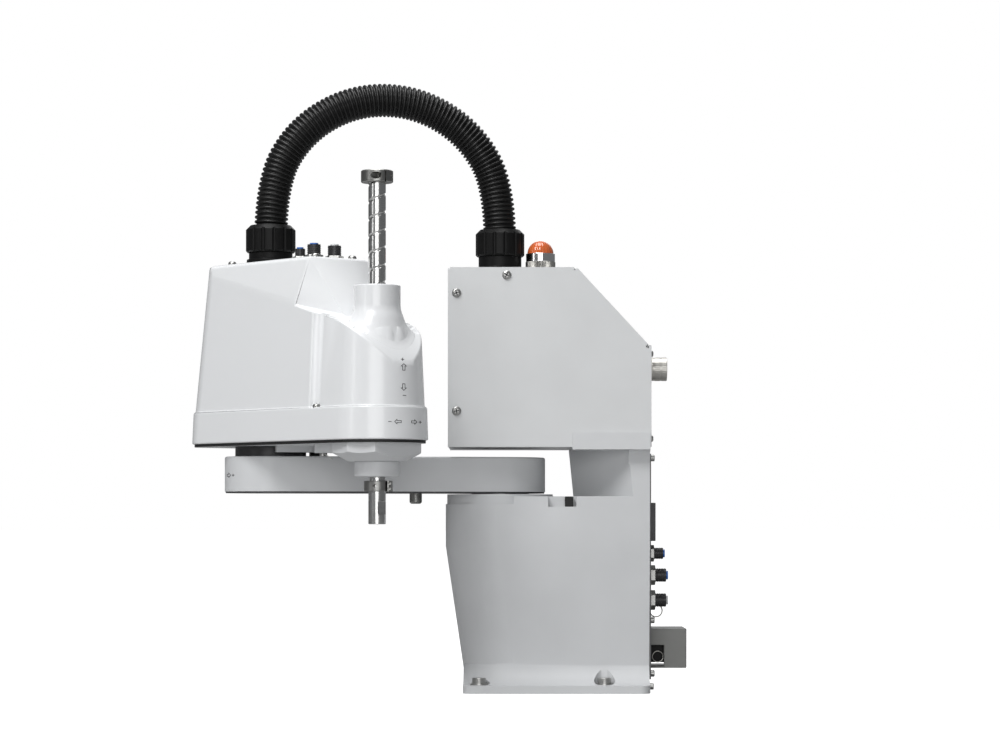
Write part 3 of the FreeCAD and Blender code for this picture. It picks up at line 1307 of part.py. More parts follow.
add("arm_collet_white", top_collet(WHITE_FITTING))

add("spline_nut", spline_nut())
add("ball_nut", ball_nut())
add("shaft", shaft())
add("upper_collar", upper_collar())
add("lower_collar", lower_collar())

os.makedirs("parts", exist_ok=True)
for name, shape in PARTS.items():
    shape.exportStep("parts/%s.step" % name)
    print("%-26s solids %d valid %s volume %.0f" % (name, len(shape.Solids), shape.isValid(), shape.Volume))
print("nodes", len(PARTS))
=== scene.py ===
# %% [markdown]
# A small pedestal robot with two swinging arms, dressed for a studio picture.
# The CAD gives every solid in metres, with +Z up, the first axis at the origin and the
# connectors towards +X. This lesson keeps those places and only adds what CAD leaves plain:
# soft casting edges, ribs on the conduit, the screw groove on the shaft, screws and finishes.

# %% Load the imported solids
import json
import math

import bmesh
import bpy
from mathutils import Matrix, Vector


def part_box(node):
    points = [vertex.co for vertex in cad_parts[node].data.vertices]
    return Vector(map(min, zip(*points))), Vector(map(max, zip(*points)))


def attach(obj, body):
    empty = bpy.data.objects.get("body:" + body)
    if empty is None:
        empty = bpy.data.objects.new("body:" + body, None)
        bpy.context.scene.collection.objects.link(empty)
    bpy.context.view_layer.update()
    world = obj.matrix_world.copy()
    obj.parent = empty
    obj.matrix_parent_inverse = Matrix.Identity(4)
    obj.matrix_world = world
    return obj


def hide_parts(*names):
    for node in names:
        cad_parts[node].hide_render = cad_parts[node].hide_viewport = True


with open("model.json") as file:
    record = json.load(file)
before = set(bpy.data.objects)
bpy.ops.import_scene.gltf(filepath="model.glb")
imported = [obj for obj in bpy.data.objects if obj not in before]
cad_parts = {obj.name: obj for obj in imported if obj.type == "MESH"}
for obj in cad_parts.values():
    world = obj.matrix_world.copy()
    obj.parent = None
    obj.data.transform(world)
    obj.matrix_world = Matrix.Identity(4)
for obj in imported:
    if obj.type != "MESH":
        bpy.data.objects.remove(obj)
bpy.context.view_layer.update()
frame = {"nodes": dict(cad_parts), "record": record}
nodes = frame["nodes"]
MM = 0.001

# %% [markdown]
# A few helpers are shared by all the steps below. Blender's operators act on whatever is
# selected, so each step starts by selecting one object only. A finished piece has its place
# in its mesh and its object at the origin, as the CAD solids have.

# %% Selecting, applying and handing over a piece


def pick(piece):
    """Make one object the only selected and the active one."""
    if bpy.context.object and bpy.context.object.mode != "OBJECT":
        bpy.ops.object.mode_set(mode="OBJECT")
    bpy.ops.object.select_all(action="DESELECT")
    piece.hide_set(False)
    piece.select_set(True)
    bpy.context.view_layer.objects.active = piece


def settle(piece):
    """Move place, turn and scale into the mesh."""
    pick(piece)
    bpy.ops.object.transform_apply(location=True, rotation=True, scale=True)


def apply_modifier(piece, modifier):
    pick(piece)
    bpy.ops.object.modifier_apply(modifier=modifier.name)


def fit(piece, name, body, material, angle=30):
    """Name a piece, give it its finish, smooth it up to an angle and let it ride on a body."""
    settle(piece)
    piece.name = name
    piece.data.name = name
    piece.data.materials.clear()
    piece.data.materials.append(material)
    bpy.ops.object.shade_smooth_by_angle(angle=math.radians(angle))
    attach(piece, body)
    return piece


def join(first, others):
    """Melt several modelled objects into the first one."""
    pick(first)
    for other in others:
        other.select_set(True)
    bpy.ops.object.join()
    return first


def face_out(piece):
    """Merge doubles and point all faces outwards."""
    pick(piece)
    bpy.ops.object.mode_set(mode="EDIT")
    bpy.ops.mesh.select_all(action="SELECT")
    bpy.ops.mesh.remove_doubles(threshold=0.002 * MM)
    bpy.ops.mesh.normals_make_consistent(inside=False)
    bpy.ops.object.mode_set(mode="OBJECT")


# %% [markdown]
# The vertical axes are found from the solids: the shaft gives the tool axis, the black nut on
# the second arm gives the elbow. Angles of both arms follow from those two places.

# %% Axes of the robot


def middle(node):
    low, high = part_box(node)
    return (low + high) / 2


ELBOW = middle("conduit_nut_arm").xy
QUILL = middle("shaft").xy
ARM1_TURN = math.atan2(ELBOW.y, ELBOW.x)
ARM2_TURN = math.atan2(QUILL.y - ELBOW.y, QUILL.x - ELBOW.x)
print("elbow at", ELBOW, "tool axis at", QUILL)


def on_arm1(u, v, z):
    """Place on the first arm: u along it from the first axis, v across it."""
    c, s = math.cos(ARM1_TURN), math.sin(ARM1_TURN)
    return Vector((u * c - v * s, u * s + v * c, z))


def on_arm2(u, v, z):
    """Place on the second arm: u along it from the elbow, v across it."""
    c, s = math.cos(ARM2_TURN), math.sin(ARM2_TURN)
    return Vector((ELBOW.x + u * c - v * s, ELBOW.y + u * s + v * c, z))


# %% [markdown]
# The picture was taken from far away with a long lens held level, so upright lines stay
# upright. The lens is aimed straight at the robot's side and the frame is shifted up
# instead of tilting the camera, as an architect's photographer would do.

# %% Camera
DISTANCE = 3.0
CAMERA_HEIGHT = 0.1653
PIXELS_PER_METRE = 1024.4
FRAME_WIDTH = 1000
HORIZON = 520
FRAME_CENTRE = 375

bpy.ops.object.camera_add(location=(0, -DISTANCE, CAMERA_HEIGHT), rotation=(math.pi / 2, 0, 0))
camera = bpy.context.object
camera.name = "studio_camera"
camera.data.sensor_width = 36
camera.data.lens = camera.data.sensor_width * PIXELS_PER_METRE * DISTANCE / FRAME_WIDTH
camera.data.shift_y = (HORIZON - FRAME_CENTRE) / FRAME_WIDTH
camera.data.clip_end = 100
bpy.context.scene.camera = camera
print("lens", round(camera.data.lens, 1), "mm")

# %% [markdown]
# Product pictures of white machines need soft light with a direction: a key light from the
# upper left front shapes the housing, a wide one behind the camera opens its shadows, a
# narrow strip draws a line down round pieces, one from above lights the ledges, and a last
# one lights the side away from the camera. The world is white only where the camera looks,
# and a dim grey where it lights the scene, so that white paint keeps its shading and bare
# metal has something dark to reflect.

# %% Lights, world and floor
bpy.context.scene.view_settings.view_transform = "Standard"


def softbox(name, place, aim, size, watts):
    bpy.ops.object.light_add(type="AREA", location=place)
    lamp = bpy.context.object
    lamp.name = name
    lamp.data.shape = "RECTANGLE"
    lamp.data.size, lamp.data.size_y = size
    lamp.data.energy = watts
    lamp.rotation_euler = (Vector(aim) - Vector(place)).to_track_quat("-Z", "Y").to_euler()
    return lamp


softbox("key_light", (-1.15, -1.85, 2.45), (-0.05, 0, 0.25), (1.1, 1.1), 54)
softbox("wide_light", (-0.1, -3.4, 0.7), (0, 0, 0.25), (2.0, 1.2), 27)
softbox("strip_light", (-2.0, -1.35, 1.0), (-0.05, -0.1, 0.3), (0.35, 1.3), 4)
softbox("top_light", (-0.2, 0, 2.2), (0, 0, 0), (1.2, 1.2), 29)
softbox("back_light", (0.4, 2.4, 1.6), (0, 0, 0.25), (1.6, 1.4), 12)

world = bpy.data.worlds.new("studio")
bpy.context.scene.world = world
world.use_nodes = True
tree = world.node_tree
tree.nodes.clear()
path = tree.nodes.new("ShaderNodeLightPath")
seen = tree.nodes.new("ShaderNodeMath")
seen.operation = "MAXIMUM"
dim = tree.nodes.new("ShaderNodeBackground")
dim.inputs["Color"].default_value = (0.95, 0.97, 1.0, 1)
dim.inputs["Strength"].default_value = 0.18
white = tree.nodes.new("ShaderNodeBackground")
white.inputs["Color"].default_value = (1, 1, 1, 1)
white.inputs["Strength"].default_value = 1.0
blend = tree.nodes.new("ShaderNodeMixShader")
out = tree.nodes.new("ShaderNodeOutputWorld")
tree.links.new(path.outputs["Is Camera Ray"], seen.inputs[0])
tree.links.new(path.outputs["Is Transmission Ray"], seen.inputs[1])
tree.links.new(seen.outputs[0], blend.inputs["Fac"])
tree.links.new(dim.outputs[0], blend.inputs[1])
tree.links.new(white.outputs[0], blend.inputs[2])
tree.links.new(blend.outputs[0], out.inputs["Surface"])

bpy.ops.mesh.primitive_plane_add(size=90, location=(0, 0, -0.0002))
floor = bpy.context.object
floor.name = "floor"
floor_finish = bpy.data.materials.new("pale_floor")
floor_finish.use_nodes = True
tree = floor_finish.node_tree
tree.nodes.clear()
path = tree.nodes.new("ShaderNodeLightPath")
diffuse = tree.nodes.new("ShaderNodeBsdfDiffuse")
diffuse.inputs["Color"].default_value = (0.4, 0.4, 0.4, 1)
glow = tree.nodes.new("ShaderNodeEmission")
glow.inputs["Strength"].default_value = 1.0
nothing = tree.nodes.new("ShaderNodeEmission")
nothing.inputs["Strength"].default_value = 0.0
choose = tree.nodes.new("ShaderNodeMixShader")
total = tree.nodes.new("ShaderNodeAddShader")
out = tree.nodes.new("ShaderNodeOutputMaterial")
tree.links.new(path.outputs["Is Camera Ray"], choose.inputs["Fac"])
tree.links.new(nothing.outputs[0], choose.inputs[1])
tree.links.new(glow.outputs[0], choose.inputs[2])
tree.links.new(choose.outputs[0], total.inputs[0])
tree.links.new(diffuse.outputs[0], total.inputs[1])
tree.links.new(total.outputs[0], out.inputs["Surface"])
floor.data.materials.append(floor_finish)

# %% [markdown]
# Finishes are built from one recipe: a main colour with a slow drift in it, a roughness that
# varies a little, and one or two layers of bump at the size that the real surface has, such
# as the orange peel of powder paint or the fine pits of a sand casting. All patterns read
# Object coordinates in metres, so they keep their size on every piece.

# %% The recipe


def finish(name, color, rough, drift=0.03, rough_drift=0.05, grain=0.0009, depth=0.02, metal=0.0,
           stretch=(1, 1, 1), coat=0.0, specular=0.5):
    """Principled surface with drifting colour and roughness and a fine bump of a given grain size."""
    made = bpy.data.materials.new(name)
    made.use_nodes = True
    tree = made.node_tree
    shader = tree.nodes["Principled BSDF"]
    shader.inputs["Metallic"].default_value = metal
    shader.inputs["Specular IOR Level"].default_value = specular
    if coat:
        shader.inputs["Coat Weight"].default_value = coat
        shader.inputs["Coat Roughness"].default_value = 0.08
    where = tree.nodes.new("ShaderNodeTexCoord")
    scale = tree.nodes.new("ShaderNodeMapping")
    scale.inputs["Scale"].default_value = stretch
    tree.links.new(where.outputs["Object"], scale.inputs["Vector"])

    def noise(size, detail):
        pattern = tree.nodes.new("ShaderNodeTexNoise")
        pattern.inputs["Scale"].default_value = 1 / size
        pattern.inputs["Detail"].default_value = detail
        tree.links.new(scale.outputs["Vector"], pattern.inputs["Vector"])
        return pattern

    broad = noise(0.05, 3)
    ramp = tree.nodes.new("ShaderNodeValToRGB")
    dark = [c * (1 - drift) for c in color]
    light = [min(1, c * (1 + drift)) for c in color]
    ramp.color_ramp.elements[0].position = 0.3
    ramp.color_ramp.elements[1].position = 0.7
    ramp.color_ramp.elements[0].color = (*dark, 1)
    ramp.color_ramp.elements[1].color = (*light, 1)
    tree.links.new(broad.outputs["Fac"], ramp.inputs["Fac"])
    tree.links.new(ramp.outputs["Color"], shader.inputs["Base Color"])

    patch = noise(0.012, 4)
    spread = tree.nodes.new("ShaderNodeMapRange")
    spread.inputs["To Min"].default_value = max(0.02, rough - rough_drift)
    spread.inputs["To Max"].default_value = min(1, rough + rough_drift)
    tree.links.new(patch.outputs["Fac"], spread.inputs["Value"])
    tree.links.new(spread.outputs["Result"], shader.inputs["Roughness"])

    fine = noise(grain, 2)
    bump = tree.nodes.new("ShaderNodeBump")
    bump.inputs["Strength"].default_value = 1.0
    bump.inputs["Distance"].default_value = depth * MM
    tree.links.new(fine.outputs["Fac"], bump.inputs["Height"])
    tree.links.new(bump.outputs["Normal"], shader.inputs["Normal"])
    return made


# %% [markdown]
# The robot's own finishes. Light grey powder paint covers castings and sheet metal, the arm
# cover is a glossier moulding, and the drive parts inside keep their bare metals.

# %% Finishes of this robot
casting_paint = finish("casting_paint", (0.60, 0.61, 0.62), 0.42, 0.02, 0.05, 0.0012, 0.03)
box_paint = finish("box_paint", (0.60, 0.61, 0.615), 0.38, 0.02, 0.04, 0.0008, 0.015)
# painted shade: the rear panel is dark grey so that its narrow edge beside the casting shows as a shaded
# line
panel_paint = finish("panel_paint", (0.15, 0.15, 0.155), 0.42, 0.04, 0.05, 0.0008, 0.015)
cover_gloss = finish("cover_gloss", (0.73, 0.74, 0.75), 0.26, 0.004, 0.006, 0.004, 0.001, coat=0.2)
black_nylon = finish("black_nylon", (0.006, 0.006, 0.006), 0.42, 0.15, 0.06, 0.0006, 0.015, specular=0.13)
hose_nylon = finish("hose_nylon", (0.006, 0.006, 0.006), 0.36, 0.15, 0.06, 0.0008, 0.015, specular=0.32)
black_rubber = finish("black_rubber", (0.012, 0.012, 0.012), 0.7, 0.2, 0.08, 0.0005, 0.03)
dark_metal = finish("dark_metal", (0.045, 0.045, 0.047), 0.4, 0.15, 0.08, 0.0006, 0.02, metal=0.3)
ground_steel = finish("ground_steel", (0.62, 0.62, 0.61), 0.23, 0.05, 0.04, 0.0012, 0.002, metal=1.0,
                      stretch=(1, 1, 12))
turned_steel = finish("turned_steel", (0.28, 0.28, 0.27), 0.36, 0.06, 0.08, 0.0007, 0.008, metal=1.0,
                      stretch=(1, 1, 8))
bright_nickel = finish("bright_nickel", (0.50, 0.49, 0.46), 0.34, 0.05, 0.06, 0.0008, 0.006, metal=1.0)
zinc_plate = finish("zinc_plate", (0.40, 0.40, 0.39), 0.36, 0.06, 0.06, 0.0007, 0.006, metal=1.0)
machined_alu = finish("machined_alu", (0.55, 0.56, 0.57), 0.36, 0.05, 0.08, 0.0006, 0.012, metal=0.85)
motor_enamel = finish("motor_enamel", (0.02, 0.02, 0.022), 0.45, 0.1, 0.06, 0.0008, 0.02)
belt_rubber = finish("belt_rubber", (0.015, 0.015, 0.015), 0.65, 0.2, 0.08, 0.0005, 0.03)
amber = finish("amber", (0.50, 0.105, 0.028), 0.16, 0.12, 0.04, 0.002, 0.01, coat=0.4)
mirror_chrome = finish("mirror_chrome", (0.78, 0.78, 0.78), 0.12, 0.02, 0.03, 0.001, 0.002, metal=1.0)
fitting_dark = finish("fitting_dark", (0.045, 0.045, 0.047), 0.38, 0.12, 0.08, 0.0006, 0.015, metal=0.4)
collet_blue = finish("collet_blue", (0.03, 0.16, 0.55), 0.35, 0.06, 0.05, 0.0006, 0.01)
collet_white = finish("collet_white", (0.72, 0.73, 0.74), 0.35, 0.04, 0.05, 0.0006, 0.01)
board_green = finish("board_green", (0.02, 0.14, 0.06), 0.35, 0.2, 0.08, 0.0005, 0.02)
guard_paint = finish("guard_paint", (0.155, 0.157, 0.15), 0.38, 0.06, 0.06, 0.0007, 0.015, metal=0.2)
mark_ink = finish("mark_ink", (0.03, 0.03, 0.032), 0.5, 0.1, 0.05, 0.0006, 0.004)

SLOT_FINISH = {
    "white_paint": casting_paint,
    "cover_white": cover_gloss,
    "box_paint": box_paint,
    "panel_paint": panel_paint,
    "dark_metal": dark_metal,
    "black_plastic": black_nylon,
    "hose_plastic": hose_nylon,
    "black_rubber": black_rubber,
    "shaft_steel": ground_steel,
    "collar_steel": turned_steel,
    "bearing_steel": turned_steel,
    "machined_alu": machined_alu,
    "motor_black": motor_enamel,
    "belt_rubber": belt_rubber,
    "lamp_amber": amber,
    "lamp_chrome": mirror_chrome,
    "connector_metal": bright_nickel,
    "fitting_black": fitting_dark,
    "collet_blue": collet_blue,
    "collet_white": collet_white,
    "board_green": board_green,
    "supply_metal": machined_alu,
    "bracket_grey": guard_paint,
}
SLOT_OF = {part["node"]: part["material_slot"] for part in frame["record"]["subparts"]}
BODIES = frame["record"]["behaviour"]["bodies"]
BODY_OF = {node: body for body, members in BODIES.items() for node in members}
for node, solid in nodes.items():
    solid.data.materials.clear()
    solid.data.materials.append(SLOT_FINISH[SLOT_OF[node]])
print("finishes given to", len(nodes), "solids")

# %% [markdown]
# Castings and mouldings have no knife edges. A copy of the CAD mesh is welded, its flat
# faces are dissolved back into whole ones, and a bevel of the real edge radius is added
# only where two faces meet at an angle. The CAD solid stays hidden underneath.

# %% Softened copies of CAD solids
# turns in degrees: past the first an edge is sharp, under the second it is only a curve's facet
SHARP_TURN, FACET_TURN = 30, 4
# a face narrower than the first is a strip of a curved wall, one broader than the second a wall
STRIP, WALL = 3 * MM, 9 * MM


def copy_of(node):
    """Welded copy of a CAD solid's mesh, with flat faces made whole."""
    mesh = nodes[node].data.copy()
    piece = bpy.data.objects.new(node + "_copy", mesh)
    bpy.context.scene.collection.objects.link(piece)
    pick(piece)
    bpy.ops.object.mode_set(mode="EDIT")
    bpy.ops.mesh.select_all(action="SELECT")
    bpy.ops.mesh.remove_doubles(threshold=0.005 * MM)
    bpy.ops.mesh.dissolve_limited(angle_limit=math.radians(0.6))
    bpy.ops.object.mode_set(mode="OBJECT")
    return piece


def even_normals(piece):
    """Let the big flat faces keep their own direction, so that only the narrow edges shade."""
    weighted = piece.modifiers.new("weighted", "WEIGHTED_NORMAL")
    weighted.keep_sharp = True
    weighted.weight = 90
    apply_modifier(piece, weighted)


def breadth(face):
    """Mean width of a face, which tells a whole flat wall from a strip of a curved one."""
    return face.calc_area() / max(line.calc_length() for line in face.edges)


def weigh_edges(piece, angle, share, wide, crease):
    """Give sharp edges a bevel weight: wide(middle) says where it is 1, elsewhere it is share.

    A crease is a small turn between two broad walls. Strips of a curved wall are left alone."""
    shell = bmesh.new()
    shell.from_mesh(piece.data)
    weight = shell.edges.layers.float.new("bevel_weight_edge")
    for line in shell.edges:
        if len(line.link_faces) != 2:
            continue
        turn = math.degrees(line.calc_face_angle(0))
        narrow = min(breadth(face) for face in line.link_faces)
        place = (line.verts[0].co + line.verts[1].co) / 2
        if turn > SHARP_TURN or (turn > angle and narrow > STRIP):
            line[weight] = wide(place, share)
        elif turn > FACET_TURN and narrow > WALL and wide(place, share) > 0:
            line[weight] = crease
    shell.to_mesh(piece.data)
    shell.free()


def soften(node, radius, segments=3, angle=32, smooth=35, share=0.4, wide=None, crease=0.0,
           clamp=True, piece=None):
    """Bevelled copy of a solid that stands for it; some edges may get a wider bevel."""
    piece = piece or copy_of(node)
    edge = piece.modifiers.new("edge", "BEVEL")
    edge.width = radius * MM
    edge.segments = segments
    edge.use_clamp_overlap = clamp
    if wide is None:
        edge.limit_method = "ANGLE"
        edge.angle_limit = math.radians(angle)
    else:
        edge.limit_method = "WEIGHT"
        weigh_edges(piece, angle, share, wide, crease)
    apply_modifier(piece, edge)
    fit(piece, node + "_soft", BODY_OF[node], SLOT_FINISH[SLOT_OF[node]], smooth)
    even_normals(piece)
    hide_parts(node)
    return piece


# %% [markdown]
# The neck round the shaft flares out and flows into the sloping nose. The CAD ends the flare
# in a short upright rim. In the copy the rim is let down onto the slope, so that the flare
# runs on into it. Its few long faces are first cut into many small ones that can bend.

# %% The flare at the neck's foot
# the neck leaves the flare at this radius and height
FLARE_R, FLARE_Z = 24.0, 351.8
# the rim's inner and outer radius, its top, and how much lower the wall's inner side ends
RIM_R = (31.5, 34.5)
RIM_TOP = 337.5
RIM_STEP = 3
# everything that counts as neck, flare or slope lies above this height
NECK_FOOT = 300
# a corner this close to a radius or a height lies on it
NEAR = 0.3
FLARE_NEAR = 1.6
# an edge of the flare that runs out by more than this crosses the whole flare
SEAM_RUN = 5
RELAX_ROUNDS = 8
# turns round the shaft, in radians: the widest gap between feet on one slope, and a lone foot's reach
FOOT_GAP = 0.35
FOOT_REACH = 0.12
FOOT_LIFT = 0.2


def off_axis(place):
    return (place.xy - QUILL).length / MM


def turn_of(place):
    return math.atan2(place.y - QUILL.y, place.x - QUILL.x)


def on_flare(corner):
    """True for a corner of the flare's outer side."""
    reach = off_axis(corner.co)
    height = FLARE_Z - (reach - FLARE_R) * (FLARE_Z - RIM_TOP) / (RIM_R[1] - FLARE_R)
    return FLARE_R + 0.2 < reach < RIM_R[1] + NEAR and abs(corner.co.z - height * MM) < FLARE_NEAR * MM


def refine_flare(shell):
    """Cut the flare's long faces into many small, even ones; gives its corners back."""
    seam = [e for e in shell.edges if all(on_flare(v) for v in e.verts)
            and abs(off_axis(e.verts[0].co) - off_axis(e.verts[1].co)) > SEAM_RUN]
    bmesh.ops.subdivide_edges(shell, edges=seam, cuts=2)
    bmesh.ops.triangulate(shell, faces=[f for f in shell.faces if all(on_flare(v) for v in f.verts)])
    patches = {f for f in shell.faces if all(on_flare(v) for v in f.verts)}
    lines = [e for e in shell.edges if any(f in patches for f in e.link_faces)]
    bmesh.ops.subdivide_edges(shell, edges=lines, cuts=4, use_grid_fill=True)
    skin = [v for v in shell.verts if on_flare(v)]
    within = [v for v in skin if FLARE_R + 2.5 < off_axis(v.co) < RIM_R[1] - 1]
    for _ in range(RELAX_ROUNDS):
        bmesh.ops.smooth_vert(shell, verts=within, factor=0.5,
                              use_axis_x=True, use_axis_y=True, use_axis_z=False)
    return skin


def foot_height(turn, top, feet):
    """Height at which the slope meets the rim, read between the two feet nearest to a turn."""
    ahead, next_z = min(((angle - turn) % (2 * math.pi), height) for angle, height in feet)
    behind, last_z = min(((turn - angle) % (2 * math.pi), height) for angle, height in feet)
    if ahead + behind == 0:
        foot = next_z
    elif ahead + behind < FOOT_GAP:
        foot = (last_z * ahead + next_z * behind) / (ahead + behind + 1e-9)
    else:
        near = last_z if behind < ahead else next_z
        foot = near + (top - near) * min(1.0, min(ahead, behind) / FOOT_REACH)
    return min(foot + FOOT_LIFT * MM, top)


def let_down_rim(piece):
    """Lower the flare's rim, inside and outside, and round the flare off down to it."""
    shell = bmesh.new()
    shell.from_mesh(piece.data)
    skin = refine_flare(shell)
    for radius, top in zip(RIM_R, (RIM_TOP - RIM_STEP, RIM_TOP)):
        ring = [v for v in shell.verts
                if abs(off_axis(v.co) - radius) < NEAR and v.co.z > NECK_FOOT * MM]
        feet = [(turn_of(v.co), v.co.z) for v in ring if v.co.z < (top - NEAR) * MM]
        outside = radius == RIM_R[1]
        moving = skin if outside else [v for v in ring if abs(v.co.z - top * MM) < NEAR * MM]
        for vertex in moving:
            foot = foot_height(turn_of(vertex.co), top * MM, feet)
            rise = max(0.0, (radius - off_axis(vertex.co)) / (radius - FLARE_R)) if outside else 0.0
            vertex.co.z = min(vertex.co.z, foot + (FLARE_Z * MM - foot) * (rise + rise ** 3) / 2)
    corners = set(skin)
    many = [f for f in shell.faces if len(f.verts) > 4 and any(v in corners for v in f.verts)]
    bmesh.ops.triangulate(shell, faces=many)
    shell.to_mesh(piece.data)
    shell.free()


cover = copy_of("arm2_cover")
let_down_rim(cover)
print("cover has", len(cover.data.polygons), "faces with the flare let down")

# %% [markdown]
# The cover's top rim is rounder than its other edges, and its soft folds get a bevel too. The
# pedestal's casting is roundest in the recess behind the arm. A small function for each says
# how much of the full radius an edge gets, from the place of its middle.

# %% Arm cover and pedestal
COVER_TOP = 410.0
# no bevel this near to the shaft, past the neck: on the slope behind the shaft and in front of it
BARE_FROM = 22
BARE_BEHIND, BARE_AHEAD = 54, 36
SHAFT_ALONG = 172
# edges of the top further out than this are its rim, those further in are holes
RIM_ACROSS = 30
RIM_ALONG = (-30, 110)
# the recess in the casting, along X and Z
RECESS_X, RECESS_Z = (60, 127), (197, 236)


def cover_edge(place, share):
    """Rounder along the top, and left alone at holes and where the flare meets the slope."""
    spoke = place.xy - ELBOW
    along = spoke.x * math.cos(ARM2_TURN) + spoke.y * math.sin(ARM2_TURN)
    across = spoke.y * math.cos(ARM2_TURN) - spoke.x * math.sin(ARM2_TURN)
    bare_to = BARE_BEHIND if along < SHAFT_ALONG * MM else BARE_AHEAD
    if place.z > NECK_FOOT * MM and BARE_FROM < off_axis(place) < bare_to:
        return 0.0
    if place.z < (COVER_TOP - 0.2) * MM:
        return share
    rim = abs(across) > RIM_ACROSS * MM or along > RIM_ALONG[1] * MM or along < RIM_ALONG[0] * MM
    return 1.0 if rim else 0.0


def casting_edge(place, share):
    """Rounder in the recess behind the arm."""
    in_x = RECESS_X[0] * MM < place.x < RECESS_X[1] * MM
    in_z = RECESS_Z[0] * MM < place.z < RECESS_Z[1] * MM
    return 1.0 if in_x and in_z else share


soften("arm2_cover", 4.2, 4, angle=14, smooth=40, share=0.35, wide=cover_edge, crease=1.0,
       clamp=False, piece=cover)
soften("base_casting", 3.6, 4, angle=30, smooth=40, share=0.45, wide=casting_edge)

# %% [markdown]
# The other castings, covers and mouldings get one bevel radius each.

# %% The other softened solids
for node, radius, segments, angle in (
    ("arm1_casting", 1.2, 3, 32),
    ("arm2_casting", 0.8, 2, 24),
    ("controller_cover_left", 0.9, 3, 32),
    ("controller_cover_right", 0.9, 3, 32),
    ("controller_frame", 0.5, 2, 32),
    ("conduit_nut_base", 0.45, 2, 40),
    ("conduit_nut_arm", 0.45, 2, 40),
    ("conduit_gland_base", 0.7, 2, 40),
    ("conduit_gland_arm", 0.7, 2, 40),
    ("spline_cover", 0.5, 2, 40),
    ("j1_stop_pin", 0.4, 2, 40),
    ("j2_flange", 0.5, 2, 40),
    ("power_guard", 0.8, 3, 40),
    ("io_connector", 0.6, 2, 40),
    ("j1_stop_blocks", 0.6, 2, 40),
    ("upper_collar", 0.25, 2, 40),
    ("lower_collar", 0.25, 2, 40),
    ("signal_lamp_bezel", 0.4, 2, 40),
):
    soften(node, radius, segments, angle)

# %% [markdown]
# Anything turned on a lathe, and the hose too, is made in one way: a flat grid is rolled up
# into a tube. One side of the grid runs along the piece, the other runs round it, and a
# small formula says how far each corner lies from the axis. Where the radius is nought the
# corners melt into a pole, and where the last row repeats the first the wall closes.

# %% Rolling a grid into a turned piece


def roll(rows, sides, shape):
    """Roll a flat grid up; shape(row, turn) gives the place of each corner."""
    bpy.ops.object.select_all(action="DESELECT")
    bpy.ops.mesh.primitive_grid_add(x_subdivisions=rows, y_subdivisions=sides, size=1, location=(0, 0, 0))
    piece = bpy.context.object
    for vertex in piece.data.vertices:
        row = round((vertex.co.x + 0.5) * rows)
        side = round((vertex.co.y + 0.5) * sides) % sides
        vertex.co = shape(row, 2 * math.pi * side / sides)
    face_out(piece)
    return piece


def turned(profile, sides=48, ripple=0.0, count=0):
    """Turn (radius, height) pairs, in millimetres, round Z; a ripple makes knurls or ribs."""
    def shape(row, turn):
        radius, height = profile[row]
        if radius > 0:
            radius += ripple * math.cos(count * turn)
        return Vector((radius * math.cos(turn), radius * math.sin(turn), height)) * MM

    return roll(len(profile) - 1, sides, shape)


def place_on(piece, place, direction, spin=0.0):
    """Stand a piece that was made upright at the origin on a surface, facing a direction."""
    turn = Vector(direction).to_track_quat("Z", "Y").to_matrix().to_4x4()
    piece.matrix_world = Matrix.Translation(Vector(place)) @ turn @ Matrix.Rotation(spin, 4, "Z")
    settle(piece)
    return piece


def copies(master, places, direction, spin=0.0):
    """Set out copies of a master, each with its own mesh, and join them; the master goes."""
    made = []
    for i, place in enumerate(places):
        copy = bpy.data.objects.new(master.name, master.data.copy())
        bpy.context.scene.collection.objects.link(copy)
        made.append(place_on(copy, place, direction, spin + 0.7 * i))
    bpy.data.objects.remove(master)
    return join(made[0], made[1:])


# %% [markdown]
# The conduit is a corrugated nylon hose held by a nut at each end. It is stiff, so it stands
# in a tall arch over the arm. Its centre line is a smooth curve through the route's points,
# and the ribs are rings of a tube laid along that line.

# %% Corrugated conduit
HOSE_END = 431.0
HOSE_ROUTE = [
    (0.0, HOSE_END), (0.0, 489.9), (30.1, 541.8), (82.4, 571.7),
    (142.6, 571.7), (194.9, 541.8), (225.0, 489.9), (225.0, HOSE_END),
]
HOSE_RADIUS = 16.1 * MM
HOSE_PITCH = 4.35 * MM
HOSE_SIDES = 48
RIB_DEPTH = 1.9 * MM
# height of the wall over one rib, as a share of its depth, at even steps along the hose
RIB_SHAPE = (0.0, 0.72, 0.97, 1.0, 0.97, 0.72, 0.0, -0.1)

line = bpy.data.curves.new("hose_line", "CURVE")
line.dimensions = "3D"
spline = line.splines.new("NURBS")
spline.points.add(len(HOSE_ROUTE) - 1)
for point, (along, height) in zip(spline.points, HOSE_ROUTE):
    point.co = (*on_arm1(along * MM, 0, height * MM), 1)
spline.order_u = 3
spline.use_endpoint_u = True
spline.resolution_u = 32
line_object = bpy.data.objects.new("hose_line", line)
bpy.context.scene.collection.objects.link(line_object)
bpy.context.view_layer.update()
traced = bpy.data.meshes.new_from_object(line_object.evaluated_get(bpy.context.evaluated_depsgraph_get()))
centre_line = [v.co.copy() for v in traced.vertices]
bpy.data.objects.remove(line_object)

lengths = [0.0]
for a, b in zip(centre_line, centre_line[1:]):
    lengths.append(lengths[-1] + (b - a).length)
hose_length = lengths[-1]
print("conduit", round(hose_length * 1000, 1), "mm long")


def along_line(distance):
    """Place and direction at a distance along the conduit's centre line."""
    distance = min(max(distance, 0), hose_length)
    i = max(j for j in range(len(lengths) - 1) if lengths[j] <= distance + 1e-9)
    share = (distance - lengths[i]) / (lengths[i + 1] - lengths[i])
    before = centre_line[max(i - 1, 0)]
    after = centre_line[min(i + 2, len(centre_line) - 1)]
    return centre_line[i].lerp(centre_line[i + 1], share), (after - before).normalized()


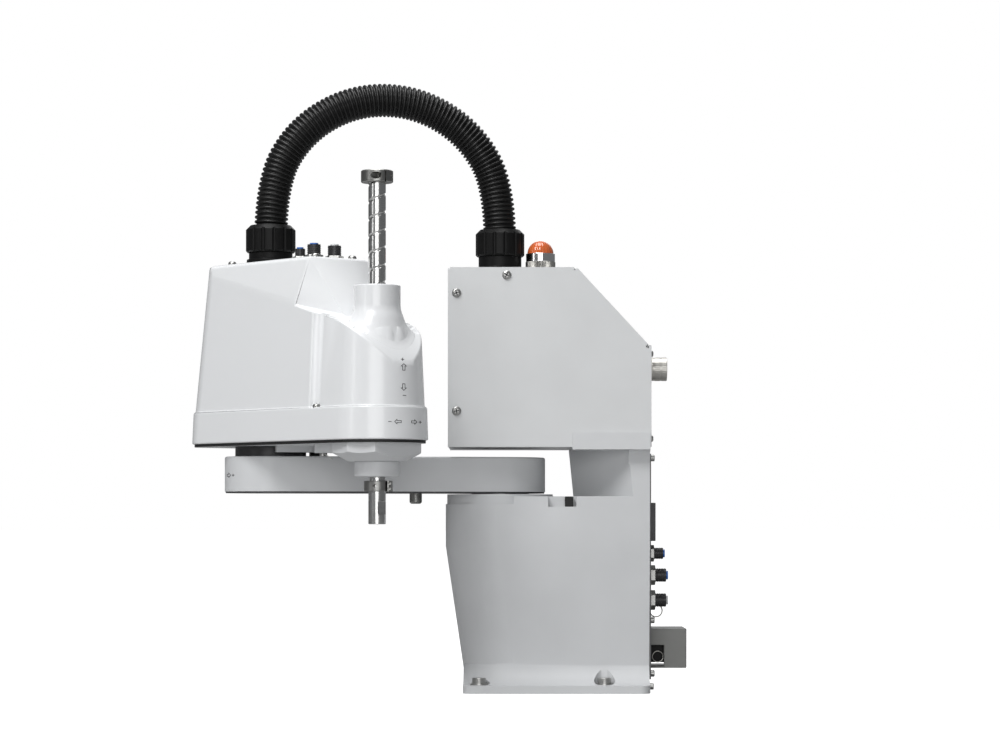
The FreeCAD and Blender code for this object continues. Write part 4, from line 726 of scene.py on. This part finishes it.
hose_steps = round(hose_length / HOSE_PITCH) * len(RIB_SHAPE)
hose_rings = [along_line(step / hose_steps * hose_length) for step in range(hose_steps + 1)]
across = on_arm1(0, 1, 0)


def hose_wall(step, turn):
    centre, ahead = hose_rings[step]
    outward = ahead.cross(across).normalized()
    radius = HOSE_RADIUS - RIB_DEPTH * (1 - RIB_SHAPE[step % len(RIB_SHAPE)])
    return centre + (outward * math.cos(turn) + across * math.sin(turn)) * radius


hose = roll(hose_steps, HOSE_SIDES, hose_wall)
bpy.ops.object.mode_set(mode="EDIT")
bpy.ops.mesh.select_all(action="SELECT")
bpy.ops.mesh.fill_holes(sides=0)
bpy.ops.object.mode_set(mode="OBJECT")
fit(hose, "conduit_hose_ribbed", "arm1", hose_nylon, 60)
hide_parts("conduit_hose")
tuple(centre_line[0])

# %% [markdown]
# Under each nut the gland's neck ends in a stepped flange, one on the box and one on the
# cover. It is a ring turned from a closed profile that starts and ends at its bore.

# %% Flanges under the glands
BOX_TOP = 406.3
FLANGE_BORE = 20.6
# radius and height over the foot of each step's corner
FLANGE_STEPS = ((23.2, 0), (23.3, 0.4), (23.3, 2.6), (22.7, 3.2), (21.9, 3.4), (21.9, 5.0), (21.5, 5.4))
for name, body, place, foot in (("gland_flange_base", "base", Vector((0, 0, 0)), BOX_TOP),
                                ("gland_flange_arm", "arm2", Vector((ELBOW.x, ELBOW.y, 0)), COVER_TOP)):
    steps = [(radius, foot + height) for radius, height in FLANGE_STEPS]
    flange = turned([(FLANGE_BORE, foot), *steps, (FLANGE_BORE, steps[-1][1]), (FLANGE_BORE, foot)], 96)
    flange.location = place
    fit(flange, name, body, black_nylon)
print("flanges", 2 * FLANGE_STEPS[1][0], "mm wide")

# %% [markdown]
# The shaft is a ball screw and a spline in one: a right-hand helical groove of 16 mm lead
# crosses three straight grooves. Both are read from one formula that lowers the wall where a
# corner of the rolled grid lies in a groove. The lower end is left plain, with a flat on it.

# %% Splined screw shaft
low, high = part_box("shaft")
SHAFT_LOW, SHAFT_HIGH = low.z / MM, high.z / MM
SHAFT_R = 8.0
SHAFT_BORE = 5.5
LEAD = 16.0
GROOVE_HALF = 1.25
GROOVE_DEPTH = 0.95
SPLINES = 3
SPLINE_HALF = 2.2
SPLINE_DEPTH = 0.5
SCREW_END = 205.0
PLAIN_END = 183.0
FLAT_RANGE = (170.5, 182.1)
FLAT_SEAT = 6.3
FLAT_TURN = math.radians(-45)
END_CHAMFER = 0.6
SHAFT_ROWS = 650
# the groove runs aslant, so a step along the shaft is this much shorter square to the groove
ASLANT = math.cos(math.atan2(LEAD, 2 * math.pi * SHAFT_R))


def dip(distance, half, depth):
    """Depth of a round-bottomed groove at a distance from its middle line."""
    if abs(distance) >= half:
        return 0.0
    return depth * math.sqrt(1 - (distance / half) ** 2)


def shaft_wall(row, turn):
    if row > SHAFT_ROWS:
        inner_height = SHAFT_HIGH if row == SHAFT_ROWS + 1 else SHAFT_LOW
        if row <= SHAFT_ROWS + 2:
            return Vector((QUILL.x, QUILL.y, 0)) + Vector(
                (SHAFT_BORE * math.cos(turn), SHAFT_BORE * math.sin(turn), inner_height)) * MM
        row = 0
    height = SHAFT_LOW + (SHAFT_HIGH - SHAFT_LOW) * row / SHAFT_ROWS
    radius = SHAFT_R
    if height > SCREW_END:
        phase = (turn / (2 * math.pi) - height / LEAD + 0.5) % 1 - 0.5
        radius -= dip(phase * LEAD * ASLANT, GROOVE_HALF, GROOVE_DEPTH)
    if height > PLAIN_END:
        straight = (turn - FLAT_TURN + math.pi / SPLINES) % (2 * math.pi / SPLINES) - math.pi / SPLINES
        radius = min(radius, SHAFT_R - dip(straight * SHAFT_R, SPLINE_HALF, SPLINE_DEPTH))
    if FLAT_RANGE[0] < height < FLAT_RANGE[1]:
        facing = math.cos(turn - FLAT_TURN)
        if facing > 0:
            radius = min(radius, FLAT_SEAT / facing)
    if row in (0, SHAFT_ROWS):
        radius -= END_CHAMFER
    outward = Vector((math.cos(turn), math.sin(turn), 0))
    return Vector((QUILL.x, QUILL.y, height * MM)) + outward * radius * MM


shaft = roll(SHAFT_ROWS + 3, 96, shaft_wall)
fit(shaft, "splined_shaft", "quill", ground_steel, 28)
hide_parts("shaft")
print("shaft faces", len(shaft.data.polygons))

# %% [markdown]
# Screws are small but they tell the eye how large a machine is. A pan head is a turned
# button with a cross cut into it, a socket head is a cylinder with a hexagonal hole. One of
# each is modelled, and copies of it are set out where the covers are held.

# %% Screw masters


def cut_from(piece, tool):
    """Take a tool's volume out of a piece."""
    cutter = piece.modifiers.new("cut", "BOOLEAN")
    cutter.operation = "DIFFERENCE"
    cutter.solver = "EXACT"
    cutter.object = tool
    apply_modifier(piece, cutter)
    bpy.data.objects.remove(tool)


def crossed_bars(middle_z, length, width, thickness):
    """Two bars, crossed at a height over the origin."""
    bars = []
    for quarter in (0, math.pi / 2):
        bpy.ops.mesh.primitive_cube_add(size=1, location=(0, 0, middle_z * MM), rotation=(0, 0, quarter))
        bars.append(bpy.context.object)
        bars[-1].scale = (length * MM, width * MM, thickness * MM)
        settle(bars[-1])
    return bars


def pan_screw(radius, height):
    """Pan head with a cross recess, standing on the origin."""
    head = turned([(0, -0.4), (radius, -0.4), (radius, 0.35 * height), (0.93 * radius, 0.62 * height),
                   (0.75 * radius, 0.85 * height), (0.45 * radius, 0.97 * height), (0, height)], 32)
    for bar in crossed_bars(height, 1.25 * radius, 0.3 * radius, 1.1 * height):
        cut_from(head, bar)
    return head


def recess_shade_cross(radius, height):
    """Dark crossed bars in the cross recess: painted shade for its shaded hollow."""
    bars = crossed_bars(0.72 * height, 1.2 * radius, 0.24 * radius, 0.2 * height)
    return join(bars[0], bars[1:])


def socket_screw(radius, height, across_flats):
    """Cylinder head with a hexagonal socket, standing on the origin."""
    head = turned([(0, 0), (radius, 0), (radius, height - 0.5), (radius - 0.5, height), (0, height)], 40)
    bpy.ops.mesh.primitive_cylinder_add(vertices=6, radius=across_flats / math.sqrt(3) * MM,
                                        depth=height * MM, location=(0, 0, height * MM))
    cut_from(head, bpy.context.object)
    return head


# %% [markdown]
# Three pan heads hold each side cover of the box and four stand on the arm cover, with two
# more at the foot of its channels. Socket heads with wide washers hold the foot down,
# and small ones hold the rear panel.

# %% Screws in their places
BOX_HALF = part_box("controller_cover_left")[1].y
SIDE_SCREWS = ((-41.4, 381.6), (6.4, 398.8), (-41.4, 269.2))
# radius and height of the heads on the box's sides
SIDE_HEAD = (4.4, 2.6)
for side, name in ((-1, "right_cover_screws"), (1, "left_cover_screws")):
    places = [Vector((x * MM, side * BOX_HALF, z * MM)) for x, z in SIDE_SCREWS]
    screws = copies(pan_screw(*SIDE_HEAD), places, (0, side, 0), 0.35)
    fit(screws, name, "base", zinc_plate)
    # the dark crosses in these heads are painted shade: the recess is plated like the head, and only its
    # shade is dark
    crosses = copies(recess_shade_cross(*SIDE_HEAD), places, (0, side, 0), 0.35)
    fit(crosses, name.replace("screws", "recess_shade"), "base", fitting_dark)

TOP_SCREWS = ((-19, -31.5), (-19, 31.5), (106, -21), (106, 21))
top_places = [on_arm2(u * MM, v * MM, COVER_TOP * MM) for u, v in TOP_SCREWS]
screws = copies(pan_screw(4.0, 3.6), top_places, (0, 0, 1), 0.2)
fit(screws, "cover_top_screws", "arm2", zinc_plate)

BAND_TOP = 268.6 * MM
channel_places = [on_arm2(0.140, v * MM, BAND_TOP) for v in (-43.0, 43.0)]
screws = copies(pan_screw(3.8, 3.4), channel_places, (0, 0, 1), 0.4)
fit(screws, "cover_channel_screws", "arm2", zinc_plate)

FOOT_TOP = 7.5
BOLT_PLACES = [(x * MM, y * MM) for x in (-20, 100) for y in (-60, 60)]
WASHER = 1.4
bolt_places = [(x, y, (FOOT_TOP + WASHER) * MM) for x, y in BOLT_PLACES]
bolts = copies(socket_screw(6.5, 5.4, 6.0), bolt_places, (0, 0, 1))
fit(bolts, "foot_bolts", "base", zinc_plate)
washer = turned([(4.3, 0), (8.7, 0), (8.75, 0.3), (8.6, WASHER), (4.3, WASHER), (4.3, 0)], 48)
washers = copies(washer, [(x, y, FOOT_TOP * MM) for x, y in BOLT_PLACES], (0, 0, 1))
fit(washers, "foot_washers", "base", zinc_plate)

PANEL_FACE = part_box("rear_panel")[1].x
rear_places = [Vector((PANEL_FACE, y * MM, z * MM)) for z in (225.0, 69.0, 17.5) for y in (-40, 40)]
casting_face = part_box("base_casting")[1].x
rear_places += [Vector((casting_face, y * MM, 6.4 * MM)) for y in (-62, 62)]
screws = copies(socket_screw(3.2, 3.6, 2.8), rear_places, (1, 0, 0))
fit(screws, "rear_panel_screws", "base", zinc_plate)
plate_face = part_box("controller_rear_plate")[1].x
plate_places = [Vector((plate_face, y * MM, z * MM)) for y in (-64, 64) for z in (243, 324)]
screws = copies(pan_screw(3.0, 2.2), plate_places, (1, 0, 0))
fit(screws, "rear_plate_screws", "base", zinc_plate)
print("screws at the foot, panel and plate:", len(BOLT_PLACES), len(rear_places), len(plate_places))

# %% [markdown]
# Push-in air fittings have a hexagon to tighten, a ribbed body and a coloured ring that is
# pushed to free the tube. The hexagon is a six-sided turned piece and the body a profile of
# small steps. The coloured rings are CAD solids and stay.

# %% Air fittings


def ribbed(radius, bore, start, end, ribs, depth=0.35):
    """Closed profile of a ribbed sleeve."""
    step = (end - start) / ribs
    points = [(bore, start), (radius, start)]
    for i in range(ribs):
        foot = start + i * step
        points += [(radius, foot + 0.35 * step), (radius - depth, foot + 0.5 * step),
                   (radius - depth, foot + 0.85 * step), (radius, foot + step)]
    return points + [(radius - 0.5, end + 0.01), (bore, end + 0.01), (bore, start)]


def nut(across_flats, bore, height):
    """Hexagon with a bore and chamfered corners, standing on the origin."""
    radius = across_flats / math.sqrt(3)
    return turned([(bore, 0), (radius - 0.6, 0), (radius, 0.5), (radius, height - 0.5),
                   (radius - 0.6, height), (bore, height), (bore, 0)], 6)


FITTING_Y = -20.0 * MM
# height on the panel, width over flats, nut length, body radius, body length and bore
REAR_FITTINGS = ((133.0, 14.0, 4.1, 5.6, 8.6, 3.95), (111.9, 16.7, 5.2, 6.6, 10.4, 4.35),
                 (87.7, 16.7, 5.2, 6.6, 10.4, 4.35))
nuts, bodies = [], []
for z, flats, nut_length, radius, length, bore in REAR_FITTINGS:
    place = Vector((PANEL_FACE, FITTING_Y, z * MM))
    nuts.append(place_on(nut(flats, bore, nut_length), place, (1, 0, 0), math.pi / 2))
    sleeve = turned(ribbed(radius, bore, nut_length, nut_length + length, 5), 40)
    bodies.append(place_on(sleeve, place, (1, 0, 0)))
fit(join(nuts[0], nuts[1:]), "panel_fitting_nuts", "base", zinc_plate)
panel_bodies = join(bodies[0], bodies[1:])
fit(panel_bodies, "panel_fitting_bodies", "base", fitting_dark)
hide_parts("base_fittings")

# place along and across the arm, width over flats, body radius, height and bore
ARM_FITTINGS = ((98.0, 6.2, 15.0, 6.4, 13.6, 4.05), (98.0, -17.0, 15.0, 6.4, 13.6, 4.05),
                (75.0, -17.0, 12.0, 4.9, 11.2, 3.25))
ARM_NUT = 2.6
nuts, bodies = [], []
for u, v, flats, radius, height, bore in ARM_FITTINGS:
    place = on_arm2(u * MM, v * MM, COVER_TOP * MM)
    nuts.append(place_on(nut(flats, bore, ARM_NUT), place, (0, 0, 1)))
    sleeve = turned(ribbed(radius, bore, ARM_NUT, height - 1.4, 5), 40)
    bodies.append(place_on(sleeve, place, (0, 0, 1)))
fit(join(nuts[0], nuts[1:]), "arm_fitting_nuts", "arm2", zinc_plate)
arm_bodies = join(bodies[0], bodies[1:])
fit(arm_bodies, "arm_fitting_bodies", "arm2", fitting_dark)
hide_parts("arm_fittings")
print("fittings on the panel and the cover:", len(REAR_FITTINGS), len(ARM_FITTINGS))

# %% [markdown]
# The signal lamp has a knurled ring, the CAD's bright bezel with its edges eased, and an
# amber lens. The lens is moulded with fine upright ribs that break up the light, so its
# radius is rippled round the dome.

# %% Signal lamp
LAMP_X = middle("signal_lamp_lens").x / MM
KNURL_TOP = 417.0
KNURL_DEPTH = 0.22
knurl = turned([(10.8, BOX_TOP), (14.2, BOX_TOP), (14.35, BOX_TOP + 0.6), (14.35, 416.4),
                (14.2, KNURL_TOP), (10.8, KNURL_TOP), (10.8, BOX_TOP)], 240, KNURL_DEPTH, 60)
knurl.location.x = LAMP_X * MM
fit(knurl, "lamp_knurled_ring", "base", bright_nickel)
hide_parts("signal_lamp_ring")

LENS_FOOT = 425.0
LENS_R = 12.6
LENS_HEIGHT = 12.8
LENS_STEPS = 12
# ribs round the lens, how far they swell as a share of the radius, and where they fade to the top
LENS_RIBS = 24
RIB_SWELL = 0.012
RIB_FADE = 6 * MM
dome_profile = [(0, LENS_FOOT), (LENS_R, LENS_FOOT)]
for i in range(1, LENS_STEPS + 1):
    angle = math.pi / 2 * i / LENS_STEPS
    radius = LENS_R * math.cos(angle) if i < LENS_STEPS else 0
    dome_profile.append((radius, LENS_FOOT + LENS_HEIGHT * math.sin(angle)))
lens = turned(dome_profile, 192)
for vertex in lens.data.vertices:
    reach = vertex.co.xy.length
    if reach > 0.01 * MM:
        turn = math.atan2(vertex.co.y, vertex.co.x)
        fade = min(1.0, reach / RIB_FADE)
        vertex.co.xy *= 1 + RIB_SWELL * fade * math.cos(LENS_RIBS * turn)
lens.location.x = LAMP_X * MM
fit(lens, "lamp_lens_ribbed", "base", amber)
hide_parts("signal_lamp_lens")
print("lamp lens has", len(lens.data.polygons), "faces")

# %% [markdown]
# The round connector on the back has a knurled barrel, and a wire ring and a wire bail hang
# at the mains inlet below. The wires are thin tori.

# %% Round connector, wire ring and bail
low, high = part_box("teach_connector_shell")
TEACH_Z = (low.z + high.z) / 2
# the barrel starts past the flange's plate
TEACH_PLATE = 2.8
barrel_start = low.x / MM + TEACH_PLATE
soften("teach_connector_shell", 0.5, 2, 40)
barrel_profile = [(9.6, 0), (11.42, 0), (11.42, 1.6), (11.02, 2.0), (11.02, 3.2), (11.47, 3.8),
                  (11.47, 8.6), (11.02, 9.2), (11.02, 10.0), (11.47, 10.6), (11.47, 15.0),
                  (11.12, 15.4), (9.6, 15.4), (9.6, 0)]
barrel = turned(barrel_profile, 180, 0.1, 45)
place_on(barrel, (barrel_start * MM, 0, TEACH_Z), (1, 0, 0))
fit(barrel, "teach_connector_barrel", "base", bright_nickel)


def wire_ring(name, radius, wire, place, tilt):
    """Thin wire bent to an upright ring, turned a little about its own level axis."""
    bpy.ops.object.select_all(action="DESELECT")
    bpy.ops.mesh.primitive_torus_add(major_radius=radius * MM, minor_radius=wire * MM,
                                     major_segments=64, minor_segments=12,
                                     location=[c * MM for c in place], rotation=(math.pi / 2, tilt, 0))
    fit(bpy.context.object, name, "base", bright_nickel)


wire_ring("label_wire_ring", 6, 0.6, (151.2, -20, 77.5), 0)
wire_ring("inlet_wire_bail", 5.2, 0.55, (152.6, -26.5, 33.2), 0.3)
print("connector barrel starts at", round(barrel_start, 1), "mm")

# %% [markdown]
# A small earth tag hangs from a screw on the hub's left shoulder: a bent strip of plated
# steel under a cylinder head.

# %% Earth tag and its screw
tag_place = on_arm2(125 * MM, -26 * MM, 227.2 * MM)
bpy.ops.mesh.primitive_cube_add(size=1, location=(0, 0, 0))
tag = bpy.context.object
tag.scale = (9.5 * MM, 5.5 * MM, 1.0 * MM)
settle(tag)
bend = tag.modifiers.new("edge", "BEVEL")
bend.width = 0.35 * MM
bend.segments = 2
apply_modifier(tag, bend)
tag.rotation_euler = (0, math.radians(32), 0)
tag.location = tag_place + Vector((5.5 * MM, -2 * MM, -3.2 * MM))
fit(tag, "earth_tag", "arm2", zinc_plate)
tag_screw = place_on(socket_screw(2.8, 3.2, 2.6), tag_place, (0, 0, -1))
fit(tag_screw, "earth_tag_screw", "arm2", zinc_plate)

# %% [markdown]
# Direction marks are printed on the nose, the band and the first arm's end: an arrow each
# way with a plus or a minus. Each mark is a flat outline that is pressed against the curved
# wall along the view direction, so that it lies on it like print.

# %% Direction marks
MARK_LIFT = 0.12


def outline_arrow(length, head, shaft, stroke):
    """Hollow arrow pointing to +X, drawn in the XZ plane round the origin."""
    half, wide = length / 2, head / 2
    points = [(half, 0), (half - wide, wide), (half - wide, shaft / 2), (-half, shaft / 2),
              (-half, -shaft / 2), (half - wide, -shaft / 2), (half - wide, -wide)]
    mesh = bpy.data.meshes.new("arrow")
    mesh.from_pydata([(x * MM, 0, z * MM) for x, z in points], [], [range(len(points))])
    arrow = bpy.data.objects.new("arrow", mesh)
    bpy.context.scene.collection.objects.link(arrow)
    pick(arrow)
    bpy.ops.object.mode_set(mode="EDIT")
    bpy.ops.mesh.select_mode(type="FACE")
    bpy.ops.mesh.select_all(action="SELECT")
    bpy.ops.mesh.inset(thickness=stroke * MM, depth=0)
    bpy.ops.mesh.delete(type="FACE")
    bpy.ops.object.mode_set(mode="OBJECT")
    return arrow


def bar(width, height):
    bpy.ops.object.select_all(action="DESELECT")
    bpy.ops.mesh.primitive_plane_add(size=1, location=(0, 0, 0), rotation=(math.pi / 2, 0, 0))
    piece = bpy.context.object
    settle(piece)
    for vertex in piece.data.vertices:
        vertex.co.x *= width * MM
        vertex.co.z *= height * MM
    return piece


def plus(size):
    return join(bar(size, 0.55), [bar(0.55, size)])


def press_on(pieces, place, target, name, body):
    """Lay flat marks on a wall, seen from the front, and give them the thickness of print."""
    mark = join(pieces[0], pieces[1:])
    mark.location = place
    settle(mark)
    pick(mark)
    bpy.ops.object.mode_set(mode="EDIT")
    bpy.ops.mesh.select_all(action="SELECT")
    bpy.ops.mesh.subdivide(number_cuts=3)
    bpy.ops.object.mode_set(mode="OBJECT")
    wrap = mark.modifiers.new("wrap", "SHRINKWRAP")
    wrap.target = target
    wrap.wrap_method = "PROJECT"
    wrap.use_project_x = False
    wrap.use_project_y = True
    wrap.use_project_z = False
    wrap.use_positive_direction = True
    wrap.use_negative_direction = False
    apply_modifier(mark, wrap)
    for vertex in mark.data.vertices:
        vertex.co.y -= MARK_LIFT * MM / 2
    thick = mark.modifiers.new("thick", "SOLIDIFY")
    thick.thickness = MARK_LIFT * MM
    thick.offset = 0
    apply_modifier(mark, thick)
    face_out(mark)
    return fit(mark, name, body, mark_ink)


def spun(piece, angle):
    """Turn a flat mark in its own plane."""
    piece.rotation_euler.y = angle
    settle(piece)
    return piece


def moved(piece, x, z):
    piece.location = (x * MM, 0, z * MM)
    settle(piece)
    return piece


cover_wall = bpy.data.objects["arm2_cover_soft"]
arm_wall = bpy.data.objects["arm1_casting_soft"]
front = -0.4
arrow_up = moved(spun(outline_arrow(6.6, 5.6, 2.6, 0.5), -math.pi / 2), 0, 9.6)
arrow_down = moved(spun(outline_arrow(6.6, 5.6, 2.6, 0.5), math.pi / 2), 0, -8.8)
nose_marks = [arrow_up, arrow_down, moved(plus(2.9), -1.2, 16.6), moved(bar(3.0, 0.55), 0.6, -16.2)]
press_on(nose_marks, (-87.1 * MM, front, 294.4 * MM), cover_wall, "travel_marks", "arm2")
band_marks = [moved(outline_arrow(5.4, 5.2, 2.4, 0.5), 9.1, 0), moved(bar(2.9, 0.55), -12.6, 0),
              moved(spun(outline_arrow(6.4, 5.2, 2.4, 0.5), math.pi), -5.4, 0), moved(plus(2.6), 14.2, 0)]
press_on(band_marks, (-86.8 * MM, front, 254.2 * MM), cover_wall, "turn_marks", "arm2")
arm_marks = [moved(outline_arrow(4.6, 5.4, 2.4, 0.5), -1.2, 0), moved(plus(2.6), 3.4, 0)]
press_on(arm_marks, (-257.5 * MM, front, 208.0 * MM), arm_wall, "swing_marks", "arm1")
